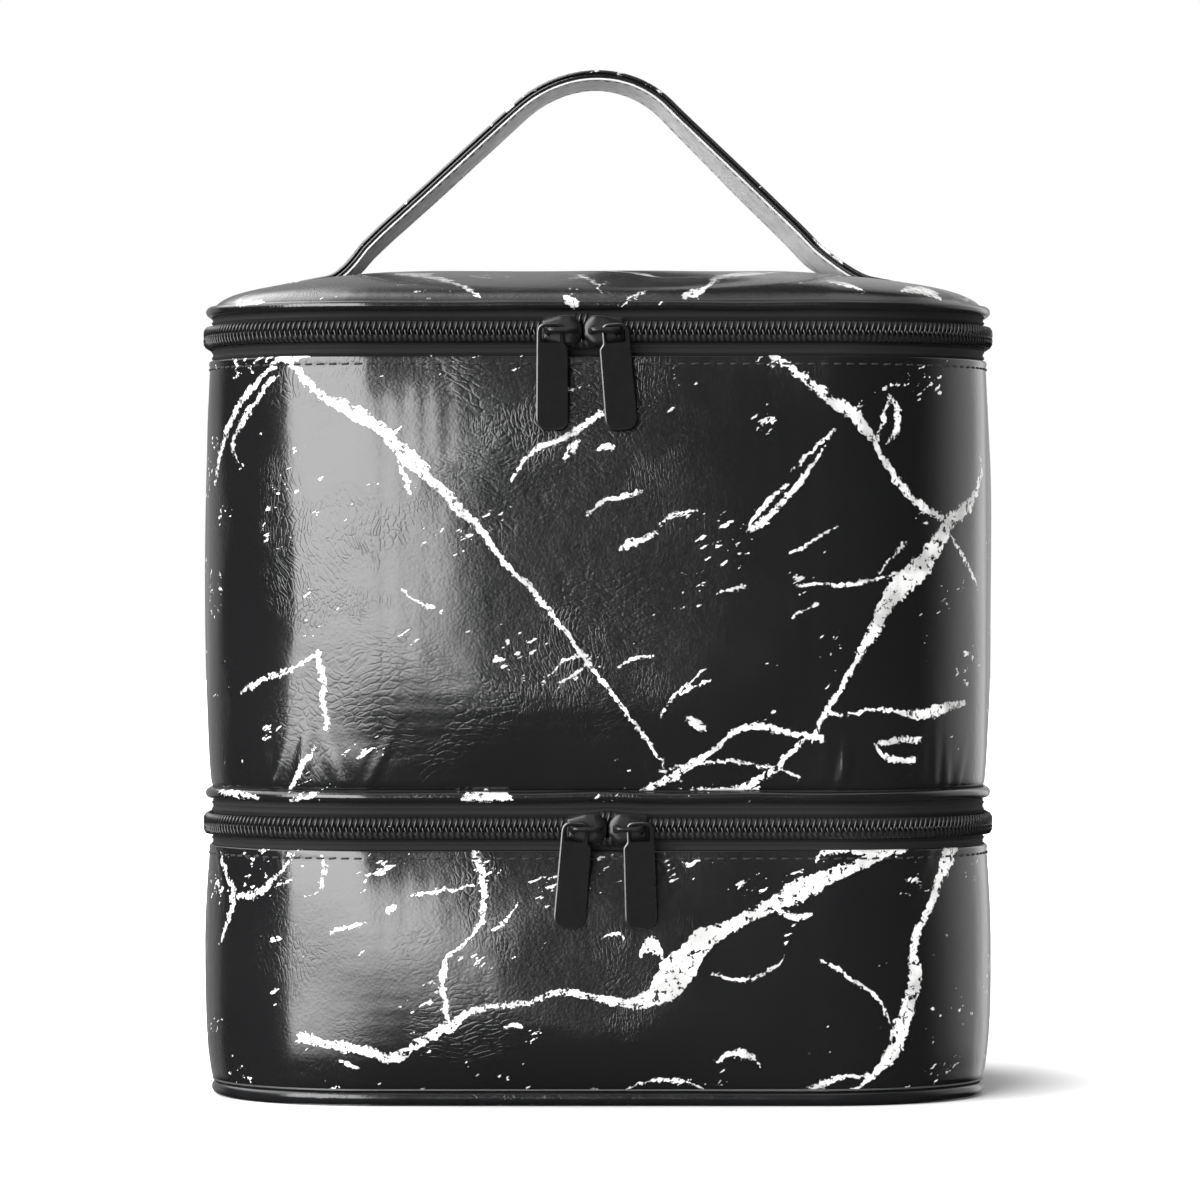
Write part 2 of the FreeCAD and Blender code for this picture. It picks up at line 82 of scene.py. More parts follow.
def outline(u, inset=0.0, radius=None):
    """Points and outward normals at lengths u round the case, 0 at the middle of the front.

    u is always measured on the outer outline; an inset outline shares its corners.
    """
    radius = ROUND - inset if radius is None else radius
    half = np.array((HALF_X - inset, HALF_Y - inset))
    line = half - radius
    steps = np.array((LINE_X, ARC, 2 * LINE_Y, ARC, 2 * LINE_X, ARC, 2 * LINE_Y, ARC, LINE_X))
    edges = np.concatenate(([0.0], np.cumsum(steps)))
    s = np.mod(np.asarray(u, float), AROUND)
    part = np.clip(np.searchsorted(edges, s, side="right") - 1, 0, 8)
    t = (s - edges[part]) / steps[part]
    turn = np.zeros_like(s)
    for k, quarter in ((1, 0), (3, 1), (5, 2), (7, 3)):
        turn = np.where(part == k, (quarter + t) * math.pi / 2, turn)
    for k, quarter in ((2, 1), (4, 2), (6, 3)):
        turn = np.where(part == k, quarter * math.pi / 2, turn)
    normal = np.stack((np.sin(turn), -np.cos(turn)), -1)
    corner_x = np.select([part <= 1, part <= 3, part <= 5, part <= 7], [1, 1, -1, -1], -1)
    corner_y = np.select([part <= 1, part <= 3, part <= 5, part <= 7], [-1, 1, 1, -1], -1)
    point = np.stack((corner_x * line[0], corner_y * line[1]), -1) + normal * radius
    along_x = np.select(
        [part == 0, part == 4, part == 8],
        [t * line[0], line[0] * (1 - 2 * t), line[0] * (t - 1)],
        0.0,
    )
    flat = (part == 0) | (part == 4) | (part == 8)
    point[..., 0] = np.where(flat, along_x, point[..., 0])
    along_y = np.where(part == 2, line[1] * (2 * t - 1), line[1] * (1 - 2 * t))
    side = (part == 2) | (part == 6)
    point[..., 1] = np.where(side, along_y, point[..., 1])
    return point, normal


def steps(low, high, size):
    """Evenly spaced values from low to high, at most size apart."""
    return np.linspace(low, high, max(2, int(math.ceil((high - low) / size)) + 1))


def around(size):
    """Lengths all the way round, without the last one, which is the first again."""
    return np.linspace(-AROUND / 2, AROUND / 2, int(AROUND / size) + 1)[:-1]


def noise_1d(seed, length, count):
    """A smooth random wave of the given number of bumps over a length."""
    values = np.random.default_rng(seed).uniform(-1, 1, count)

    def wave(u):
        at = np.mod(np.asarray(u, float) / length, 1.0) * count
        low = np.floor(at).astype(int)
        t = at - low
        t = t * t * (3 - 2 * t)
        return values[low % count] * (1 - t) + values[(low + 1) % count] * t

    return wave


def broad_waves(seed, size, count=7):
    """A smooth two-way undulation, from a few crossed waves."""
    draw = random.Random(seed)
    parts = []
    for _ in range(count):
        turn, reach = draw.uniform(0, math.pi), size * draw.uniform(0.6, 1.5)
        parts.append((math.cos(turn) / reach, math.sin(turn) / reach, draw.uniform(0, 7)))

    def wave(x, y):
        return sum(np.sin(2 * math.pi * (x * a + y * b) + c) for a, b, c in parts) / count

    return wave


# ---------------------------------------------------------------- mesh making


def add_mesh(name, points, faces, uvs=None, smooth=True):
    """points in millimetres; uvs one pair for each face corner, in metres."""
    mesh = bpy.data.meshes.new(name)
    mesh.from_pydata((np.asarray(points) * MM).tolist(), [], faces)
    if uvs is not None:
        layer = mesh.uv_layers.new(name="Cloth")
        layer.data.foreach_set("uv", np.asarray(uvs, np.float32).ravel())
    mesh.validate()
    mesh.update()
    obj = bpy.data.objects.new(name, mesh)
    bpy.context.scene.collection.objects.link(obj)
    if smooth:
        mesh.polygons.foreach_set("use_smooth", [True] * len(mesh.polygons))
    return obj


def grid_faces(rows, columns, close_rows, close_columns, first=0):
    """Quads of a grid of points that is stored row by row."""
    faces = []
    for r in range(rows if close_rows else rows - 1):
        after = (r + 1) % rows
        for c in range(columns if close_columns else columns - 1):
            beside = (c + 1) % columns
            faces.append(
                (
                    first + r * columns + c,
                    first + after * columns + c,
                    first + after * columns + beside,
                    first + r * columns + beside,
                )
            )
    return faces


def grid_uvs(rows, columns, close_rows, close_columns, row_at, column_at):
    """UVs that match grid_faces; row_at and column_at hold one more value where closed."""
    uvs = []
    for r in range(rows if close_rows else rows - 1):
        for c in range(columns if close_columns else columns - 1):
            for dr, dc in ((0, 0), (1, 0), (1, 1), (0, 1)):
                uvs.append((row_at[r + dr] * MM, column_at[c + dc] * MM))
    return uvs


def swept(name, profile, us, closed=True, shift=None, smooth=True):
    """A closed profile of (outward, level) points carried round the case.

    shift(u, out, level) gives what to add to out and to level.
    """
    profile = np.asarray(profile, float)
    u, out = np.meshgrid(us, profile[:, 0], indexing="ij")
    level = np.meshgrid(us, profile[:, 1], indexing="ij")[1]
    if shift is not None:
        more_out, more_level = shift(u, out, level)
        out, level = out + more_out, level + more_level
    point, normal = outline(u)
    place = point + normal * out[..., None]
    points = np.concatenate((place, level[..., None]), -1).reshape(-1, 3)
    rows, columns = u.shape
    faces = grid_faces(rows, columns, closed, True)
    row_at = np.append(us, us[0] + AROUND) if closed else us
    loop = np.vstack((profile, profile[:1]))
    column_at = np.concatenate(([0], np.cumsum(np.linalg.norm(np.diff(loop, axis=0), axis=1))))
    column_at = column_at + profile[0, 1]
    uvs = grid_uvs(rows, columns, closed, True, row_at, column_at)
    if not closed:
        for row, flip in ((0, False), (rows - 1, True)):
            cap = [row * columns + c for c in range(columns)]
            faces.append(tuple(reversed(cap)) if flip else tuple(cap))
            uvs += [(0.0, 0.0)] * columns
    obj = add_mesh(name, points, faces, uvs, smooth)
    outward(obj)
    return obj


def outward(obj):
    """Face normals made to point out of the closed mesh."""
    work = bmesh.new()
    work.from_mesh(obj.data)
    bmesh.ops.recalc_face_normals(work, faces=work.faces)
    work.to_mesh(obj.data)
    work.free()


def tubes(name, paths, radius, sides=6, flat=1.0):
    """Round-ended threads along several short paths, in one object."""
    points, faces = [], []
    for path in paths:
        path = np.asarray(path, float)
        count = len(path)
        tangent = np.gradient(path, axis=0)
        tangent /= np.linalg.norm(tangent, axis=1)[:, None]
        helper = np.array((0.0, 0.0, 1.0))
        if abs(tangent[0] @ helper) > 0.9:
            helper = np.array((0.0, 1.0, 0.0))
        side = np.cross(tangent, helper)
        side /= np.linalg.norm(side, axis=1)[:, None]
        up = np.cross(side, tangent)
        first = len(points)
        for k in range(count):
            end = 0.55 if k in (0, count - 1) else 1.0
            for n in range(sides):
                a = 2 * math.pi * n / sides
                offset = math.cos(a) * side[k] + math.sin(a) * up[k] * flat
                points.append(path[k] + offset * radius * end)
        faces += grid_faces(count, sides, False, True, first)
        faces.append(tuple(first + n for n in range(sides)))
        faces.append(tuple(first + (count - 1) * sides + n for n in reversed(range(sides))))
    obj = add_mesh(name, points, faces)
    outward(obj)
    return obj


def finish_piece(obj, body, slot, material, *nodes):
    """The piece's material, the body it rides on, and the CAD nodes it stands for; slot is not used.
    """
    if material is not None:
        obj.data.materials.append(material)
    if body:
        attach(obj, body)
    if nodes:
        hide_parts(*nodes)
    return obj

# ---------------------------------------------------------------- materials


class Paint:
    """A node material, with short calls for its nodes. Lengths inside it are in millimetres."""

    def __init__(self, name, colour, roughness, **shader):
        self.made = bpy.data.materials.new(name)
        self.made.use_nodes = True
        self.tree = self.made.node_tree
        self.shader = self.tree.nodes["Principled BSDF"]
        self.shader.inputs["Base Color"].default_value = (*colour, 1)
        self.shader.inputs["Roughness"].default_value = roughness
        for key, value in shader.items():
            self.shader.inputs[key.replace("_", " ")].default_value = value
        self.relief = None

    def node(self, kind, **settings):
        made = self.tree.nodes.new(kind)
        for key, value in settings.items():
            setattr(made, key, value)
        return made

    def feed(self, socket, value):
        if hasattr(value, "is_output"):
            self.tree.links.new(value, socket)
        elif value is not None:
            socket.default_value = value

    def place(self, uv=False):
        """Position on the piece, in millimetres."""
        source = self.node("ShaderNodeTexCoord").outputs["UV" if uv else "Object"]
        scale = self.node("ShaderNodeVectorMath", operation="SCALE")
        self.feed(scale.inputs[0], source)
        scale.inputs["Scale"].default_value = 1000
        return scale.outputs[0]

    def math(self, operation, a, b=None, c=None, clamp=False):
        made = self.node("ShaderNodeMath", operation=operation, use_clamp=clamp)
        for socket, value in zip(made.inputs, (a, b, c)):
            self.feed(socket, value)
        return made.outputs[0]

    def vector(self, operation, a, b=None, scale=None):
        made = self.node("ShaderNodeVectorMath", operation=operation)
        self.feed(made.inputs[0], a)
        if b is not None:
            self.feed(made.inputs[1], b)
        if scale is not None:
            self.feed(made.inputs["Scale"], scale)
        return made.outputs[0]

    def noise(self, where, size, detail=2.0, rough=0.5, colour=False, warp=0.0):
        made = self.node("ShaderNodeTexNoise")
        self.feed(made.inputs["Vector"], where)
        made.inputs["Scale"].default_value = 1 / size
        made.inputs["Detail"].default_value = detail
        made.inputs["Roughness"].default_value = rough
        made.inputs["Distortion"].default_value = warp
        return made.outputs["Color" if colour else "Fac"]

    def cells(self, where, size, feature="F1", random=1.0):
        made = self.node("ShaderNodeTexVoronoi", feature=feature)
        self.feed(made.inputs["Vector"], where)
        made.inputs["Scale"].default_value = 1 / size
        made.inputs["Randomness"].default_value = random
        return made.outputs["Distance"]

    def wave(self, where, size, direction="X", warp=0.0):
        made = self.node("ShaderNodeTexWave", bands_direction=direction)
        self.feed(made.inputs["Vector"], where)
        made.inputs["Scale"].default_value = 1 / size * 0.31831
        made.inputs["Distortion"].default_value = warp
        return made.outputs["Fac"]

    def ramp(self, value, low, high, to_low=0.0, to_high=1.0, smooth=True):
        made = self.node("ShaderNodeMapRange")
        made.interpolation_type = "SMOOTHSTEP" if smooth else "LINEAR"
        for socket, given in zip(made.inputs, (value, low, high, to_low, to_high)):
            self.feed(socket, given)
        return made.outputs[0]

    def mix(self, share, a, b):
        made = self.node("ShaderNodeMix", data_type="RGBA")
        self.feed(made.inputs[0], share)
        for socket, value in ((made.inputs[6], a), (made.inputs[7], b)):
            self.feed(socket, (*value, 1) if isinstance(value, tuple) else value)
        return made.outputs[2]

    def parts(self, vector):
        made = self.node("ShaderNodeSeparateXYZ")
        self.feed(made.inputs[0], vector)
        return made.outputs

    def warped(self, where, size, amount, detail=2.0):
        """The place moved about by a noise, at most about amount millimetres."""
        field = self.noise(where, size, detail, colour=True)
        centred = self.vector("SUBTRACT", field, (0.5, 0.5, 0.5))
        return self.vector("ADD", where, self.vector("SCALE", centred, scale=2 * amount))

    def colour(self, socket):
        self.feed(self.shader.inputs["Base Color"], socket)

    def rough(self, socket):
        self.feed(self.shader.inputs["Roughness"], socket)

    def bump(self, height, depth, strength=1.0):
        """height 0 to 1 stands for depth millimetres of relief; calls add up."""
        made = self.node("ShaderNodeBump")
        made.inputs["Strength"].default_value = strength
        made.inputs["Distance"].default_value = depth * MM
        self.feed(made.inputs["Height"], height)
        if self.relief is not None:
            self.feed(made.inputs["Normal"], self.relief)
        self.relief = made.outputs[0]
        self.feed(self.shader.inputs["Normal"], self.relief)

    def curve(self, t, values):
        """A smooth function of t, 0 to 1, through (t, value) points."""
        made = self.node("ShaderNodeFloatCurve")
        curve = made.mapping.curves[0]
        curve.points[0].location = values[0]
        curve.points[1].location = values[-1]
        for at, value in values[1:-1]:
            curve.points.new(at, value)
        made.mapping.update()
        self.feed(made.inputs["Value"], t)
        return made.outputs[0]


BLACK = (0.0052, 0.0053, 0.0056)
VEIN_WHITE = (0.68, 0.68, 0.67)

# Veins of the front, drawn one by one. Each is (axis it runs along, [(along, across, half width)]).
UPPER_VEINS = (
    ("x", [(-92, 219, 0.8), (-89.5, 216, 1.3), (-81.5, 208, 0.9), (-74, 203.5, 1.3),
           (-65, 198, 1.7),
           (-58, 191, 1.9), (-50, 184, 1.4), (-43, 176.5, 1.5), (-36, 169.5, 1.5), (-28, 159, 0.9),
           (-14, 144, 0.8), (-2, 128, 0.8), (9, 112.5, 0.6), (19, 99.5, 0.5)]),
    ("x", [(-97, 214, 0.3), (-93, 217.5, 1.1), (-89, 218, 1.4), (-84, 218.5, 0.5)]),
    ("x", [(-60, 193, 0.4), (-56, 183, 0.9), (-54, 177, 0.3)]),
    ("x", [(-62, 197.5, 0.3), (-55, 190.5, 0.7), (-49, 186.5, 0.3)]),
    ("z", [(184, -112, 0.4), (196, -109.3, 0.7), (206, -103.6, 0.9), (216, -94.2, 1.0)]),
    ("z", [(186, -103, 0.2), (193, -107, 0.4), (199, -104, 0.8), (206, -99.2, 0.9),
           (212, -95, 0.7)]),
    ("x", [(48, 220, 0.7), (58, 213, 1.0), (67, 206, 1.3), (76, 199, 1.8), (83, 187.5, 1.0),
           (90, 179, 1.1), (97, 173.5, 0.7), (104, 169.5, 0.4)]),
    ("z", [(192, 83.5, 0.3), (198, 86.6, 0.8), (204, 86.4, 0.9), (207, 84.5, 0.4)]),
    ("z", [(193, 80.5, 0.2), (199, 82.2, 0.5), (206, 84.2, 0.4)]),
    ("x", [(28, 91.3, 0.7), (39, 91.8, 1.1), (50, 97, 1.1), (57, 104, 0.9), (62.5, 108, 0.8)]),
    ("x", [(62, 107, 0.5), (66, 114, 0.9), (71, 122, 0.7), (76, 131, 1.3), (86, 148, 2.4),
           (97.5, 160.5, 2.2), (104.5, 171, 1.4), (110, 175.5, 1.2), (113.5, 188, 0.9)]),
    ("x", [(102, 168, 0.3), (107, 160, 0.5), (113, 151, 0.3)]),
    ("x", [(-24.5, 182, 0.4), (-18, 190, 0.7), (-7, 195.2, 0.9), (2.5, 202, 0.6)]),
    ("x", [(43, 167, 0.4), (49, 170.5, 0.9), (57, 179.5, 0.8), (66, 191, 0.4)]),
    ("x", [(43, 167.5, 0.4), (47, 173, 0.8), (55.5, 181, 0.5)]),
    ("x", [(56, 184, 0.2), (62, 190, 0.6), (69.5, 197, 0.25)]),
    ("x", [(55, 161, 0.2), (62, 164, 0.5), (69.5, 168, 0.25)]),
    ("x", [(58, 151.3, 0.4), (73, 152.2, 0.55), (88, 154.5, 0.35)]),
    ("x", [(82, 155, 0.2), (86, 160, 0.4), (90, 163.5, 0.2)]),
    ("x", [(56.5, 142.3, 0.2), (62, 145.2, 0.4), (64, 146, 0.2)]),
    ("x", [(34, 149.3, 0.3), (39, 150.6, 0.5), (44, 150.8, 0.2)]),
    ("x", [(18, 169.3, 0.3), (23.5, 172.3, 0.5), (29, 173, 0.3)]),
    ("x", [(5, 161.5, 0.3), (9, 163.5, 1.1), (17, 166.7, 0.3)]),
    ("x", [(-3, 171.5, 0.3), (3, 175.5, 0.6), (13, 178.5, 0.25)]),
    ("x", [(17.5, 112.5, 0.3), (24, 121.5, 0.5), (31, 127.5, 0.25)]),
    ("x", [(23, 119.5, 0.2), (27, 122, 0.4), (32.5, 124, 0.2)]),
    ("x", [(5, 127, 0.2), (10, 129.6, 0.5), (16, 130, 0.2)]),
    ("x", [(-105, 119.5, 0.4), (-96, 124.5, 0.9), (-88, 127, 0.5), (-81, 131.5, 0.5)]),
    ("z", [(109, -79, 0.4), (121, -79.5, 1.0), (132, -81.5, 0.5)]),
    ("x", [(-91, 90.5, 0.5), (-86, 99, 0.9), (-81, 104, 0.3)]),
    ("x", [(12, 90.8, 0.7), (25, 97.8, 1.2), (35.5, 105.3, 1.0), (39.5, 109.3, 0.9),
           (47.5, 110.8, 1.1), (56, 109, 0.9), (66, 106.8, 1.2)]),
    ("x", [(18, 97, 0.3), (25, 99, 0.5), (32, 99.8, 0.45), (49, 98.4, 0.5), (58, 95.5, 0.25)]),
    ("x", [(66, 114, 0.3), (73, 113.5, 0.7), (80, 115.5, 0.5), (92, 114, 1.2), (104, 115.8, 1.3),
           (108, 117, 0.5)]),
    ("x", [(80.5, 105, 0.5), (84.5, 106.8, 0.9), (94.5, 106.2, 1.0)]),
    ("x", [(80.3, 105.2, 0.5), (84, 101.8, 1.0), (92.5, 100.5, 0.9)]),
    ("x", [(-13, 126.5, 0.3), (-9, 130, 0.5), (-3, 131.5, 0.3)]),
    ("x", [(-11, 122.5, 0.3), (-5, 127.5, 0.5), (-2, 130.5, 0.3)]),
    ("x", [(25, 112.5, 0.4), (28, 111.5, 1.7), (31.5, 109.5, 0.4)]),
    ("x", [(-9.5, 188, 0.2), (-7.5, 190.3, 1.3), (-5, 192, 0.2)]),
    ("x", [(0, 190, 0.2), (2.5, 191.3, 0.9), (5, 191, 0.2)]),
    ("x", [(-57, 150.5, 0.2), (-52, 146.5, 0.5), (-47, 144.5, 0.25)]),
)
LOWER_VEINS = (
    ("x", [(-87, 20.2, 0.5), (-82, 19.4, 1.3), (-75, 17.6, 1.2), (-67.6, 16.5, 1.4), (-60, 15, 1.3),
           (-53, 18, 1.4), (-43, 23.8, 1.7), (-35, 28, 0.8), (-20, 31, 0.7), (-11, 34, 1.0),
           (1, 31.5, 1.1), (12, 31, 2.2), (17, 35, 4.2), (24, 40, 6.6), (30, 47, 4.6), (41, 54, 2.0),
           (53, 60, 2.4), (58, 63, 3.2), (73, 69, 1.6), (81, 73, 2.2), (90, 75, 1.0)]),
    ("x", [(12, 43, 0.4), (16, 47, 1.3), (19, 41, 0.5)]),
    ("x", [(33, 39, 0.3), (44, 38, 0.5), (54, 44, 0.3)]),
    ("x", [(50, 60, 0.4), (57, 55, 1.0), (62, 56, 0.4)]),
    ("x", [(63, 72, 0.5), (72, 75.5, 1.6), (82, 73, 0.6)]),
    ("z", [(24, -43, 0.8), (31, -44.4, 0.8), (40, -44.4, 0.9), (48, -38.6, 0.7), (58, -33, 0.9),
           (66, -33.6, 1.0), (75, -35, 1.1)]),
    ("z", [(1, 68, 0.5), (9, 79, 0.9), (17, 86, 2.4), (28, 89.5, 2.0), (37, 92, 1.5), (47, 92, 1.1),
           (60, 98, 1.3), (69, 101, 1.5), (75.5, 104, 1.9)]),
    ("z", [(4, 62, 0.4), (8, 70, 0.9), (10, 80, 0.4)]),
    ("x", [(64, 43, 0.3), (73, 38, 0.4), (83, 28, 0.5), (86, 20, 0.3)]),
    ("z", [(45.5, -111.5, 0.3), (53, -109, 0.6), (60, -107.4, 0.9), (66, -109.2, 0.6),
           (71.6, -111.5, 0.5)]),
    ("x", [(-106, 59.8, 0.6), (-98, 62, 0.9), (-93.5, 66.5, 0.6), (-89.5, 71.2, 0.4)]),
    ("x", [(-78, 50.4, 0.3), (-73, 52.6, 0.5), (-67.2, 53.6, 0.3)]),
    ("x", [(-61.8, 56.8, 0.4), (-60, 57.4, 1.2), (-58, 57.8, 0.4)]),
    ("x", [(-95.6, 48, 0.4), (-94.4, 48.4, 1.0), (-92.8, 48.8, 0.4)]),
    ("z", [(61.6, -85.4, 0.3), (63, -81, 0.5), (68, -79.8, 0.4), (73.2, -80, 0.3)]),
    ("x", [(-54.9, 61.3, 0.3), (-46, 62.4, 0.5), (-36.2, 64.5, 0.3)]),
    ("x", [(-30.8, 51, 0.3), (-27, 54, 0.5), (-23.8, 58.8, 0.3)]),
    ("x", [(-75, 13.8, 0.3), (-72, 12.2, 0.6), (-68.8, 11.4, 0.3)]),
    ("x", [(-27.2, 23.6, 0.3), (-24.5, 24.2, 0.7), (-21.8, 23.7, 0.3)]),
    ("x", [(-4, 4, 0.3), (-1, 4.6, 0.8), (2.2, 4.2, 0.3)]),
    ("x", [(-54.8, 3.4, 0.3), (-51.5, 4.8, 0.6), (-48.4, 5.2, 0.3)]),
    ("x", [(0.4, 48, 0.3), (4, 50.2, 0.4), (8, 48.4, 0.3)]),
    ("x", [(8, 4.5, 0.3), (20, 8, 0.5), (32, 3.5, 0.3)]),
    ("x", [(34, 13, 0.3), (41, 16, 1.0), (47, 12, 0.3)]),
)
CORD_VEINS = (
    ("x", [(-40, 89.6, 0.6), (-33, 90, 1.7), (-25, 89.4, 0.6)]),
    ("x", [(-111.5, 90.3, 0.4), (-105, 89.8, 0.8), (-98.5, 89.3, 0.4)]),
    ("x", [(-89.5, 89.2, 0.4), (-85, 90, 0.8), (-81.5, 90.6, 0.4)]),
)
LID_VEINS = (
    ("x", [(-60, 244, 0.5), (-52, 243, 0.6), (-43, 240, 0.7), (-34, 235.5, 0.5)]),
    ("x", [(-8, 243, 0.3), (-2, 241, 0.4), (1.5, 236, 0.3)]),
    ("x", [(-10, 234.5, 0.5), (-8, 233.5, 1.7), (-5.2, 232.5, 0.5)]),
    ("x", [(-106, 233.4, 0.4), (-102, 234, 1.1), (-97, 234, 0.4)]),
    ("x", [(6, 232.5, 0.2), (10, 235, 0.4), (14, 236.5, 0.2)]),
    ("x", [(25, 235.5, 0.3), (31, 237, 1.2), (34, 241, 0.9), (42, 243.5, 1.0), (50, 245, 0.5)]),
    ("x", [(66, 241, 0.2), (73, 239, 0.9), (78, 236.5, 0.3)]),
    ("x", [(88, 237.5, 0.3), (95, 238, 1.3), (100, 236, 0.4)]),
)


def vein(paint, along, across, points):
    """How deep inside a drawn vein a place is, in millimetres, and below 0 outside."""
    ends = points[0][0], points[-1][0]
    low = min(p[1] for p in points) - 1
    high = max(p[1] for p in points) + 1
    widest = max(p[2] for p in points)
    t = paint.ramp(along, *ends, smooth=False)
    spots = [((p[0] - ends[0]) / (ends[1] - ends[0]), p) for p in points]
    middle = paint.curve(t, [(at, (p[1] - low) / (high - low)) for at, p in spots])
    width = paint.curve(t, [(at, p[2] / widest) for at, p in spots])
    middle = paint.math("MULTIPLY_ADD", middle, high - low, low)
    run = points[-1][0] - points[0][0]
    slope = sum(abs(b[1] - a[1]) for a, b in zip(points, points[1:])) / run
    off = paint.math("ABSOLUTE", paint.math("SUBTRACT", across, middle))
    off = paint.math("MULTIPLY", off, 1 / math.hypot(1, slope))
    cover = paint.math("MULTIPLY_ADD", width, widest, paint.math("MULTIPLY", off, -1.0))
    beyond = paint.math("ABSOLUTE", paint.math("SUBTRACT", along, sum(ends) / 2))
    inside = paint.math("SUBTRACT", run / 2, beyond)
    return paint.math("MINIMUM", cover, inside)


def marble(name, veins, spare):
    """Gloss leather with marble veins: drawn ones in front, random ones where spare says."""
    paint = Paint(name, BLACK, 0.25, Coat_Weight=0.35, Coat_Roughness=0.08)
    place = paint.place()
    y = paint.parts(place)[1]
    bent = paint.warped(paint.warped(place, 15, 1.9, 3), 3.4, 1.1, 5)
    bent_x, _, bent_z = paint.parts(bent)
    total = None
    for axis, points in veins:
        pair = (bent_x, bent_z) if axis == "x" else (bent_z, bent_x)
        one = vein(paint, *pair, points)
        total = one if total is None else paint.math("MAXIMUM", total, one)
    # ragged edges and gaps, finer than the drawn widths
    tear = paint.noise(place, 1.5, 3, 0.65)
    if total is not None:
        grit = paint.noise(place, 0.9, 2, 0.6)
        ragged = paint.math("MULTIPLY_ADD", tear, 2.6, -1.42)
        ragged = paint.math("MULTIPLY_ADD", grit, 1.3, paint.math("ADD", ragged, -0.65))
        total = paint.math("ADD", total, ragged)
        islands = paint.ramp(paint.noise(bent, 1.9, 4, 0.7), 0.55, 0.6)
        total = paint.math("MULTIPLY_ADD", total, 4.5, 0.6, clamp=True)
        total = paint.math("MULTIPLY", total, paint.math("SUBTRACT", 1.0, islands))
        front = paint.ramp(y, -34, -44)
        total = paint.math("MULTIPLY", total, front)
    # a net of fine cracks, shown only in patches
    loose = paint.warped(paint.warped(place, 46, 15, 3), 7, 1.8, 3)
    cracks = paint.cells(loose, 62, "DISTANCE_TO_EDGE")
    patch = paint.noise(place, 48, 2)
    width = paint.ramp(patch, 0.44, 0.72, 0.0, 0.032)
    net = paint.ramp(cracks, width, paint.math("ADD", width, 0.006), 1.0, 0.0)
    net = paint.math("MULTIPLY", net, paint.ramp(patch, 0.46, 0.5))
    net = paint.math("MULTIPLY", net, paint.ramp(tear, 0.3, 0.45))
    net = paint.math("MULTIPLY", net, spare(paint, place))
    # flecks, in loose drifts, long across the slope of the veins
    lean = paint.node("ShaderNodeVectorRotate", rotation_type="Y_AXIS")
    paint.feed(lean.inputs["Vector"], place)
    lean.inputs["Angle"].default_value = math.radians(28)
    long = paint.vector("MULTIPLY", lean.outputs[0], (0.5, 0.8, 1.25))
    chips = paint.noise(paint.warped(long, 3, 0.8, 2), 2.1, 3, 0.62)
    crowd = paint.noise(paint.vector("MULTIPLY", lean.outputs[0], (0.7, 0.8, 1.2)), 17, 3, 0.6)
    limit = paint.ramp(crowd, 0.48, 0.64, 0.82, 0.605)
    fleck = paint.ramp(chips, limit, paint.math("ADD", limit, 0.016))
    white = paint.math("MAXIMUM", net, fleck)
    if total is not None:
        white = paint.math("MAXIMUM", white, total)
    shade = paint.ramp(paint.noise(place, 9, 3), 0.35, 0.6, 0.55, 1.0)
    white = paint.math("MULTIPLY", white, shade)
    dark = paint.mix(paint.noise(place, 35, 3), BLACK, (0.0075, 0.0076, 0.008))
    paint.colour(paint.mix(white, dark, VEIN_WHITE))
    leather_skin(paint, place)
    return paint.made


def leather_skin(paint, place, depth=1.0):
    """Grain, pores and fine creases of coated leather."""
    pebble = paint.cells(paint.warped(place, 2.4, 0.6, 2), 0.8, "SMOOTH_F1")
    paint.bump(pebble, 0.045 * depth, 0.5)
    bent = paint.warped(paint.warped(place, 34, 12, 2), 5, 0.8, 2)
    turns = (((1.0, 1.0, 0.25), 0.5, 0.63), ((0.3, 1.0, 1.0), 0.5, 0.64))
    lit_side = paint.ramp(paint.parts(place)[0], -20, 35, 1.0, 0.25)
    for number, (stretch, low, high) in enumerate(turns):
        moved = paint.vector("ADD", paint.vector("MULTIPLY", bent, stretch), (number * 31.0, 0, 0))
        crease = paint.ramp(paint.cells(moved, 1.25 + 0.5 * number, "DISTANCE_TO_EDGE"), 0.0, 0.2)
        where = paint.noise(paint.vector("ADD", place, (number * 57.0, 9.0, 0)), 30, 3)
        shown = paint.math("MULTIPLY", paint.ramp(where, low, high), lit_side)
        faded = paint.math("MULTIPLY", paint.math("SUBTRACT", 1.0, crease), shown)
        paint.bump(paint.math("SUBTRACT", 1.0, faded), 0.06 * depth, 0.55)
    paint.bump(paint.noise(place, 9, 3), 0.24 * depth, 0.5)
    grain = paint.noise(place, 1.3, 3, 0.6)
    broad = paint.noise(place, 26, 2)
    both = paint.math("MULTIPLY_ADD", grain, 0.10, paint.math("MULTIPLY", broad, 0.08))
    paint.rough(paint.math("ADD", both, 0.09))


def plain_leather(name, colour, depth=1.0, coat=0.3):
    """Coated leather of one colour, without veins."""
    paint = Paint(name, colour, 0.3, Coat_Weight=coat, Coat_Roughness=0.15)
    place = paint.place()
    light = tuple(c * 1.7 for c in colour)
    paint.colour(paint.mix(paint.noise(place, 6, 3), colour, light))
    leather_skin(paint, place, depth)
    return paint.made


